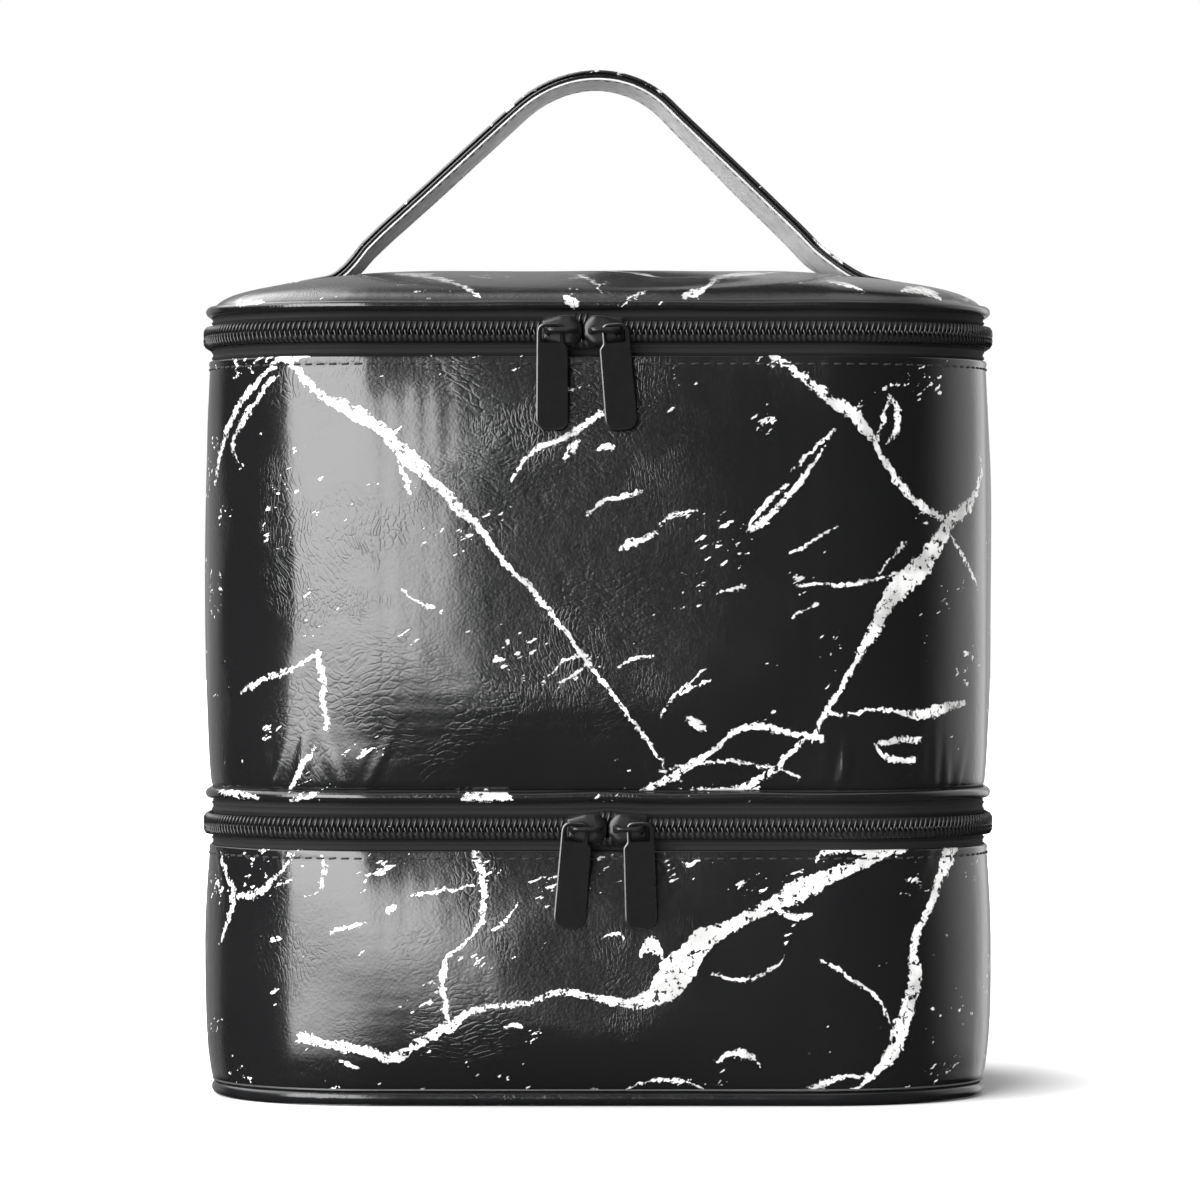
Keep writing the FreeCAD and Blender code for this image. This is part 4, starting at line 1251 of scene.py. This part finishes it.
def rounded(corners, radii, share=7):
    """A closed outline with each corner rounded to its own radius."""
    points = []
    count = len(corners)
    for k in range(count):
        here = np.array(corners[k], float)
        back = np.array(corners[k - 1], float) - here
        on = np.array(corners[(k + 1) % count], float) - here
        back_long, on_long = np.linalg.norm(back), np.linalg.norm(on)
        back, on = back / back_long, on / on_long
        half = math.acos(np.clip(back @ on, -1, 1)) / 2
        reach = min(radii[k] / math.tan(half), back_long * 0.49, on_long * 0.49)
        start, end = here + back * reach, here + on * reach
        for t in np.linspace(0, 1, share):
            points.append(start * (1 - t) ** 2 + here * 2 * t * (1 - t) + end * t * t)
    return np.array(points)


def inset_loop(loop, amount):
    """A closed outline moved inwards, whichever way round it runs."""
    ahead, back = np.roll(loop, -1, 0), np.roll(loop, 1, 0)
    run = ahead - back
    run /= np.maximum(np.linalg.norm(run, axis=1), 1e-9)[:, None]
    area = np.sum(loop[:, 0] * ahead[:, 1] - ahead[:, 0] * loop[:, 1])
    inward = np.stack((-run[:, 1], run[:, 0]), -1) * (1 if area > 0 else -1)
    return loop + inward * amount


def stacked(name, outlines, fronts, middle, level, way, smooth=True):
    """A solid from outlines of (along, up), each at its own distance in front."""
    rings = [
        np.column_stack((middle + way * loop[:, 0], np.full(len(loop), -front), level + loop[:, 1]))
        for loop, front in zip(outlines, fronts)
    ]
    return capped_rings(name, rings, smooth)


def joined(name, objs):
    """Several meshes made one object; the first one's materials lead."""
    bpy.ops.object.select_all(action="DESELECT")
    for obj in objs:
        obj.select_set(True)
    bpy.context.view_layer.objects.active = objs[0]
    bpy.ops.object.join()
    objs[0].name = name
    return objs[0]


def edge_split_normals(obj, angle=38):
    """Smooth shading, but with crisp edges where faces meet sharply."""
    bpy.ops.object.select_all(action="DESELECT")
    obj.select_set(True)
    bpy.context.view_layer.objects.active = obj
    bpy.ops.object.shade_smooth_by_angle(angle=math.radians(angle))


def make_slider(place, middle, level, way):
    """Along +X of its own outline is the slider's tail."""
    name = f"zip_slider_{place}"
    nose, tail = -SLIDER_HALF, SLIDER_HALF
    blade = rounded(
        [(nose, -1.7), (nose + 2.4, -4.72), (nose + 6.3, -4.5), (tail, -3.0), (tail, 3.0),
         (nose + 6.3, 4.5), (nose + 2.4, 4.72), (nose, 1.7)],
        [3.0, 3.4, 6.0, 1.2, 1.2, 6.0, 3.4, 3.0], 9,
    )
    fronts = (89.62, 89.66, 90.2, 90.62, 90.86, 90.98, 91.0)
    insets = (0.35, 0.08, 0.0, 0.16, 0.55, 1.3, 2.4)
    front = stacked(f"{name}_front", [inset_loop(blade, i) for i in insets], fronts, middle, level,
                    way)
    rear = stacked(f"{name}_rear", [inset_loop(blade, i) for i in (0.5, 0.1, 0.1, 0.5)],
                   (84.7, 84.95, 85.5, 85.75), middle, level, way)
    neck = rounded([(nose + 0.12, -1.1), (nose + 1.5, -0.9), (nose + 3.2, 0.0),
                    (nose + 1.5, 0.9), (nose + 0.12, 1.1)], [0.4, 0.8, 0.2, 0.8, 0.4], 4)
    neck[:, 1] *= 0.42
    neck = np.column_stack((np.minimum(neck[:, 0], nose + 0.5), neck[:, 1]))
    post = stacked(f"{name}_neck", [neck, neck], (85.4, 90.0), middle, level, way)
    parts = [front, rear, post]
    for side in (-1, 1):
        lip = rounded(
            [(nose + 2.2, side * 3.72), (tail - 0.5, side * 3.42), (tail - 0.5, side * 3.78),
             (nose + 6.3, side * 4.38), (nose + 2.2, side * 4.55)], [0.2, 0.1, 0.15, 2, 0.3], 4)
        parts.append(stacked(f"{name}_lip", [inset_loop(lip, 0.05), lip, lip],
                             (87.7, 87.85, 90.2), middle, level, way))
    low, high, turn = 90.6, 94.4, 0.95
    path = [(NOSE_POST, low), (NOSE_POST, high - turn)]
    path += [(NOSE_POST + turn - turn * math.cos(a), high - turn + turn * math.sin(a))
             for a in np.linspace(0, math.pi / 2, 6)[1:]]
    path += [(t, high) for t in np.linspace(NOSE_POST + turn, TAIL_POST - turn, 7)[1:]]
    path += [(TAIL_POST - turn + turn * math.sin(a), high - turn + turn * math.cos(a))
             for a in np.linspace(0, math.pi / 2, 6)[1:]]
    path += [(TAIL_POST, low)]
    rings = []
    path = np.array(path)
    ahead = np.gradient(path, axis=0)
    ahead /= np.linalg.norm(ahead, axis=1)[:, None]
    for (t, front_at), (dt, df) in zip(path, ahead):
        ring = []
        for a in np.linspace(0, 2 * math.pi, 17)[:-1]:
            wide, thick = 0.78 * math.cos(a), 0.6 * math.sin(a)
            ring.append((middle + way * (t - df * thick), -(front_at + dt * thick), level + wide))
        rings.append(np.array(ring))
    parts.append(capped_rings(f"{name}_crown", rings))
    for foot in (NOSE_POST, TAIL_POST):
        loop = rounded([(foot - 1.15, -1.25), (foot + 1.15, -1.25), (foot + 1.15, 1.25),
                        (foot - 1.15, 1.25)], [0.8] * 4, 4)
        parts.append(stacked(f"{name}_foot", [loop, inset_loop(loop, 0.12), inset_loop(loop, 0.45)],
                             (90.7, 91.25, 91.55), middle, level, way))
    obj = joined(name, parts)
    edge_split_normals(obj)
    return finish_piece(obj, f"slider_{place}", "black_metal", slider_enamel, f"slider_{place}")


def make_pull(place, middle, level, way, tilt):
    """A flat pull hung by its eye on the crown's tail post, its rims polished by wear."""
    eye = 2.75 - TAIL_POST
    outer = rounded(
        [(eye - 3.4, 2.2), (eye + 4.5, 2.2), (eye + 4.7, -28.8), (eye - 4.7, -28.8),
         (eye - 4.5, -5.2), (eye - 3.4, -3.7)],
        [2.3, 3.2, 3.7, 3.7, 0.9, 0.9], 9,
    )
    hole = rounded(
        [(eye - 2.3, 1.0), (eye + 3.3, 1.0), (eye + 3.3, -3.5), (eye - 2.3, -3.5)],
        [1.4, 2.0, 0.7, 0.7], 9,
    )
    work = bmesh.new()
    levels = (
        (0.34, PULL_BACK), (0.0, PULL_BACK + 0.3),
        (0.0, PULL_FRONT - 0.42), (0.12, PULL_FRONT - 0.16), (0.42, PULL_FRONT),
    )

    def ring(loop, inset, front):
        moved = inset_loop(loop, inset)
        return [work.verts.new((way * a, -front, z)) for a, z in moved]

    for loop, sign in ((outer, 1), (hole, -1)):
        rings = [ring(loop, sign * inset * (1 if sign > 0 else 0.6), front) for inset, front in levels]
        for k, (one, two) in enumerate(zip(rings, rings[1:])):
            for n in range(len(one)):
                after = (n + 1) % len(one)
                face = work.faces.new((one[n], one[after], two[after], two[n]))
                face.material_index = 1 if sign > 0 and k >= 2 else 0
        for verts in (rings[0], rings[-1]):
            for n in range(len(verts)):
                if work.edges.get((verts[n], verts[(n + 1) % len(verts)])) is None:
                    work.edges.new((verts[n], verts[(n + 1) % len(verts)]))
    for front in (PULL_BACK, PULL_FRONT):
        edges = [e for e in work.edges if all(abs(v.co.y + front) < 1e-3 for v in e.verts)]
        bmesh.ops.triangle_fill(work, edges=edges, use_beauty=True)
    bmesh.ops.recalc_face_normals(work, faces=work.faces)
    turn = math.radians(-tilt)
    for vert in work.verts:
        x, z = vert.co.x, vert.co.z
        vert.co.x = x * math.cos(turn) + z * math.sin(turn) + middle + way * TAIL_POST
        vert.co.z = z * math.cos(turn) - x * math.sin(turn) + level
        vert.co *= MM
    mesh = bpy.data.meshes.new(f"zip_pull_{place}")
    work.to_mesh(mesh)
    work.free()
    obj = bpy.data.objects.new(f"zip_pull_{place}", mesh)
    bpy.context.scene.collection.objects.link(obj)
    obj.data.materials.append(pull_enamel)
    obj.data.materials.append(pull_rim)
    edge_split_normals(obj, 18)
    return finish_piece(obj, f"pull_{place}", "pull_metal", None, f"pull_{place}")


SLIDERS = (
    ("upper_left", UPPER_PARTING, -1, 0.0),
    ("upper_right", UPPER_PARTING, 1, 5.0),
    ("lower_left", LOWER_PARTING, -1, -4.7),
    ("lower_right", LOWER_PARTING, 1, 1.9),
)
for place, parting, way, tilt in SLIDERS:
    low, high = mm_box(f"slider_{place}")
    middle = (low[0] + high[0]) / 2
    make_slider(place, middle, parting, way)
    make_pull(place, middle, parting, way, tilt)

# ---------------------------------------------------------------- inside of the case


def inner_band(name, node, body, slot, material, face, waver, seed):
    """A cloth band on the inside of the wall: face is how far in its shown side is."""
    low, high = mm_box(node)
    us = around(2.6)
    levels = steps(low[2], high[2], 4.0)
    back = HALF_X - high[0]
    profile = [(-face, z) for z in levels[::-1]] + [(-back, z) for z in levels]
    wave = broad_waves(seed, 36, 6)

    def shift(u, out, level):
        edge = np.clip(np.minimum(level - low[2], high[2] - level) / 4, 0, 1)
        return np.where(out < -back - 0.05, waver * edge * (wave(u, level) + 0.6), 0.0), 0 * u

    return finish_piece(swept(name, profile, us, shift=shift), body, slot, material, node)


def soft_ring(name, node, body, slot, material, seed):
    """A folded binding over a wall's rim, rounded and a little uneven."""
    low, high = mm_box(node)
    inner, outer = 6.7, HALF_X - high[0]
    middle, half = -(inner + outer) / 2, (inner - outer) / 2
    height, rise = (low[2] + high[2]) / 2, (high[2] - low[2]) / 2
    ring = []
    for a in np.linspace(0, 2 * math.pi, 25)[:-1]:
        c, s = math.cos(a), math.sin(a)
        ring.append((middle + half * math.copysign(abs(c) ** 0.45, c),
                     height + rise * math.copysign(abs(s) ** 0.5, s)))
    wave = noise_1d(seed, AROUND, 120)

    def shift(u, out, level):
        return 0.12 * wave(u), 0.06 * wave(u + 40)

    return finish_piece(swept(name, ring, around(2.2), shift=shift), body, slot, material, node)


def soft_plate(name, node, body, face_up, swell, seed):
    """A padded cloth panel over a floor or under the lid, sunk along its edge."""
    low, high = mm_box(node)
    start = HALF_X - high[0]
    depths = np.concatenate((start + np.array((0.0, 0.35, 0.9, 1.8, 3.2)), steps(start + 5, 85.5, 4)))
    us = around(2.8)
    wave = broad_waves(seed, 30)
    shown, hidden = [], []
    for depth in depths:
        point, _ = outline(us, depth, float(corner_radius(depth)))
        away = depth - start
        lift = swell * (1 - math.exp(-away / 9)) - 0.3 * math.exp(-((away - 3.2) / 0.7) ** 2)
        lift = lift + 0.25 * wave(point[:, 0], point[:, 1]) * min(1, away / 8)
        edge = high[2] if face_up else low[2]
        shown.append(np.column_stack((point, edge + (lift if face_up else -lift))))
        flat = low[2] if face_up else high[2]
        hidden.append(np.column_stack((point, np.full(len(us), flat))))
    obj = capped_rings(name, hidden[::-1] + shown)
    return finish_piece(obj, body, "lining_cloth", lining_flat, node)


inner_band("lower_wall_cloth", "lower_wall_lining", "lower_case", "lining_cloth", lining_cloth,
           5.9, 0.3, 51)
inner_band("upper_wall_cloth", "upper_wall_lining", "upper_case", "lining_cloth", lining_cloth,
           5.9, 0.3, 52)
soft_ring("lower_rim_cloth", "lower_rim_binding", "lower_case", "lining_cloth", binding_cloth, 53)
soft_ring("upper_rim_cloth", "upper_rim_binding", "upper_case", "lining_cloth", binding_cloth, 54)
soft_ring("lid_rim_cloth", "lid_rim_binding", "lid", "lining_cloth", binding_cloth, 55)
soft_plate("lower_floor_cloth", "lower_floor_lining", "lower_case", True, 0.5, 56)
soft_plate("upper_floor_cloth", "upper_floor_lining", "upper_case", True, 0.0, 57)
soft_plate("lid_under_cloth", "lid_lining", "lid", False, 0.9, 58)


def padded_divider(node, seed):
    """A padded divider: crowned faces, a sewn border, and a rounded bound edge."""
    low, high = mm_box(node)
    thin = 0 if high[0] - low[0] < high[1] - low[1] else 1
    wide = 1 - thin
    middle, half = (low[thin] + high[thin]) / 2, (high[thin] - low[thin]) / 2
    a_at, b_at = steps(low[wide], high[wide], 1.5), steps(low[2], high[2], 1.5)
    wave = broad_waves(seed, 26, 6)
    a, b = np.meshgrid(a_at, b_at, indexing="ij")
    away = np.minimum(np.minimum(a - low[wide], high[wide] - a), np.minimum(b - low[2], high[2] - b))
    round_off = np.sqrt(np.clip(1 - (1 - np.clip(away / 2.4, 0, 1)) ** 2, 0, 1))
    thick = half * (0.8 + 0.2 * (1 - np.exp(-away / 9))) * (0.18 + 0.82 * round_off)
    thick -= half * 0.16 * np.exp(-((away - 5) / 0.9) ** 2)
    rows, columns = a.shape
    sides = []
    for sign in (1, -1):
        points = np.zeros((rows, columns, 3))
        offset = middle + sign * (thick - 0.12 * (1 + wave(a, b)) * np.clip(away / 10, 0, 1))
        points[..., thin], points[..., wide], points[..., 2] = offset, a, b
        sides.append(points.reshape(-1, 3))
    faces = grid_faces(rows, columns, False, False)
    back = [tuple(reversed([v + rows * columns for v in face])) for face in faces]
    border = list(range(columns))
    border += [r * columns + columns - 1 for r in range(1, rows)]
    border += [(rows - 1) * columns + c for c in range(columns - 2, -1, -1)]
    border += [r * columns for r in range(rows - 2, 0, -1)]
    rim = [(border[k], border[(k + 1) % len(border)],
            border[(k + 1) % len(border)] + rows * columns, border[k] + rows * columns)
           for k in range(len(border))]
    obj = add_mesh(f"padded_{node}", np.concatenate(sides), faces + back + rim)
    outward(obj)
    finish_piece(obj, "upper_case", "lining_cloth", lining_flat, node)
    paths = []
    lift = half * 0.82 + np.array((-0.4, 0.05, 0.12, 0.05, -0.4))
    for sign in (1, -1):
        for start in np.arange(low[wide] + 7, high[wide] - 6, 3.6):
            path = np.zeros((5, 3))
            path[:, wide], path[:, 2] = start + STITCH_STEPS * 1.3, high[2] - 5.0
            path[:, thin] = middle + sign * lift
            paths.append(path)
    finish_piece(tubes(f"{node}_stitches", paths, 0.24, 5), "upper_case", "zip_tape", thread_black)


for number, node in enumerate(("divider_long", "divider_front_left", "divider_front_right",
                               "divider_back")):
    padded_divider(node, 60 + number)

# ---------------------------------------------------------------- parts kept as the CAD made them

KEPT = {
    "lower_base_panel": trim_leather,
    "lower_base_board": board_grey,
    "upper_base_board": board_grey,
    "upper_base_panel": lining_flat,
    "lower_floor_foam": foam_grey,
    "upper_floor_foam": foam_grey,
    "lower_foam_wall": foam_grey,
    "upper_foam_wall": foam_grey,
    "lid_foam": foam_grey,
    "lower_stiffener": sheet_black,
    "upper_stiffener": sheet_black,
    "divider_hook_strips": hook_cloth,
}
for node, material in KEPT.items():
    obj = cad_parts[node]
    if not obj.material_slots:
        obj.data.materials.append(material)
    for place in obj.material_slots:
        place.link = "OBJECT"
        place.material = material

# ---------------------------------------------------------------- studio


SHADOW_SHIFT = 14
SHADOW_START, SHADOW_END = 92, 210
FLOOR_AHEAD = 275
CAMERA_AWAY, CAMERA_UP, CAMERA_ASIDE = 1700, 147, 0.6
CAMERA_LENS = 175.9
ROOM_LIGHT = 0.012


def make_floor():
    """A white floor that glows by itself away from the case, so that only a short shadow shows."""
    paint = Paint("studio_floor", (0.86, 0.86, 0.86), 0.55, Specular_IOR_Level=0.2)
    place = paint.place()
    tone = paint.noise(place, 220, 2)
    paint.colour(paint.mix(tone, (0.84, 0.84, 0.84), (0.88, 0.88, 0.88)))
    x, y, _ = paint.parts(place)
    x = paint.math("SUBTRACT", x, SHADOW_SHIFT)
    far = paint.math("SQRT", paint.math("ADD", paint.math("MULTIPLY", x, x),
                                        paint.math("MULTIPLY", y, y)))
    glow = paint.ramp(far, SHADOW_START, SHADOW_END)
    paint.shader.inputs["Emission Color"].default_value = (1, 1, 1, 1)
    paint.feed(paint.shader.inputs["Emission Strength"], glow)
    half, ahead = 9000, HALF_Y + FLOOR_AHEAD
    corners = [(-half, -ahead, 0), (half, -ahead, 0), (half, half, 0), (-half, half, 0)]
    floor = add_mesh("studio_floor", corners, [(0, 1, 2, 3)], smooth=False)
    floor.data.materials.append(paint.made)
    floor.visible_glossy = False


def make_world():
    """White to the camera. To everything else, a dark room with a few soft windows."""
    world = bpy.data.worlds.new("studio")
    bpy.context.scene.world = world
    world.use_nodes = True
    tree = world.node_tree
    tree.nodes.clear()

    def node(kind, *given, **settings):
        made = tree.nodes.new(kind)
        for key, value in settings.items():
            setattr(made, key, value)
        for socket, value in zip(made.inputs, given):
            if hasattr(value, "is_output"):
                tree.links.new(value, socket)
            elif value is not None:
                socket.default_value = value
        return made

    def math_node(operation, *given):
        return node("ShaderNodeMath", *given, operation=operation).outputs[0]

    def window(value, *edges):
        """0 outside the first and last edge, 1 between the middle two."""
        rise = node("ShaderNodeMapRange", value, edges[0], edges[1], 0.0, 1.0,
                    interpolation_type="SMOOTHSTEP").outputs[0]
        fall = node("ShaderNodeMapRange", value, edges[2], edges[3], 1.0, 0.0,
                    interpolation_type="SMOOTHSTEP").outputs[0]
        return math_node("MULTIPLY", rise, fall)

    direction = node("ShaderNodeTexCoord").outputs["Generated"]
    parts = node("ShaderNodeSeparateXYZ", direction).outputs
    turn = math_node("ARCTAN2", parts[0], math_node("MULTIPLY", parts[1], -1.0))
    turn = math_node("MULTIPLY", turn, 180 / math.pi)
    rise = math_node("MULTIPLY", math_node("ARCSINE", parts[2]), 180 / math.pi)
    total = None
    for strength, around_edges, up_edges in LIGHTS:
        leaning = math_node("MULTIPLY_ADD", rise, WINDOW_LEAN, turn)
        one = math_node("MULTIPLY", window(leaning, *around_edges), window(rise, *up_edges))
        one = math_node("MULTIPLY", one, strength)
        total = one if total is None else math_node("ADD", total, one)
    total = math_node("ADD", total, ROOM_LIGHT)
    room = node("ShaderNodeBackground", (1, 1, 1, 1), total)
    seen = node("ShaderNodeBackground", (1, 1, 1, 1), 1.0)
    is_seen = node("ShaderNodeLightPath").outputs["Is Camera Ray"]
    mixed = node("ShaderNodeMixShader", is_seen, room.outputs[0], seen.outputs[0])
    node("ShaderNodeOutputWorld", mixed.outputs[0])


# how far a window's edges lean over, in degrees to the left for each degree up
WINDOW_LEAN = 0.12
# strength, then the four edges of a window: degrees round from the camera's side, to the right,
# and degrees above the horizon
LIGHTS = (
    (9.0, (-64, -60, -7.1, -4.5), (-12, 0, 40, 60)),
    (0.9, (70, 118, 150, 160), (-20, 0, 40, 70)),
    (0.5, (128, 140, 180, 181), (-20, -5, 30, 50)),
    (0.35, (-181, -180, -140, -126), (-20, -5, 30, 50)),
    (3.6, (-175, -150, -70, -45), (15, 35, 60, 85)),
    (1.1, (-181, -180, 180, 181), (52, 72, 91, 92)),
)
make_floor()
make_world()

scene = bpy.context.scene
scene.view_settings.view_transform = "Standard"
camera = bpy.data.cameras.new("photo_camera")
camera.sensor_width = 36
camera.lens = CAMERA_LENS
camera.clip_end = 50
holder = bpy.data.objects.new("photo_camera", camera)
scene.collection.objects.link(holder)
holder.location = (CAMERA_ASIDE * MM, -(HALF_Y + CAMERA_AWAY) * MM, CAMERA_UP * MM)
holder.rotation_euler = (math.pi / 2, 0, 0)
scene.camera = holder
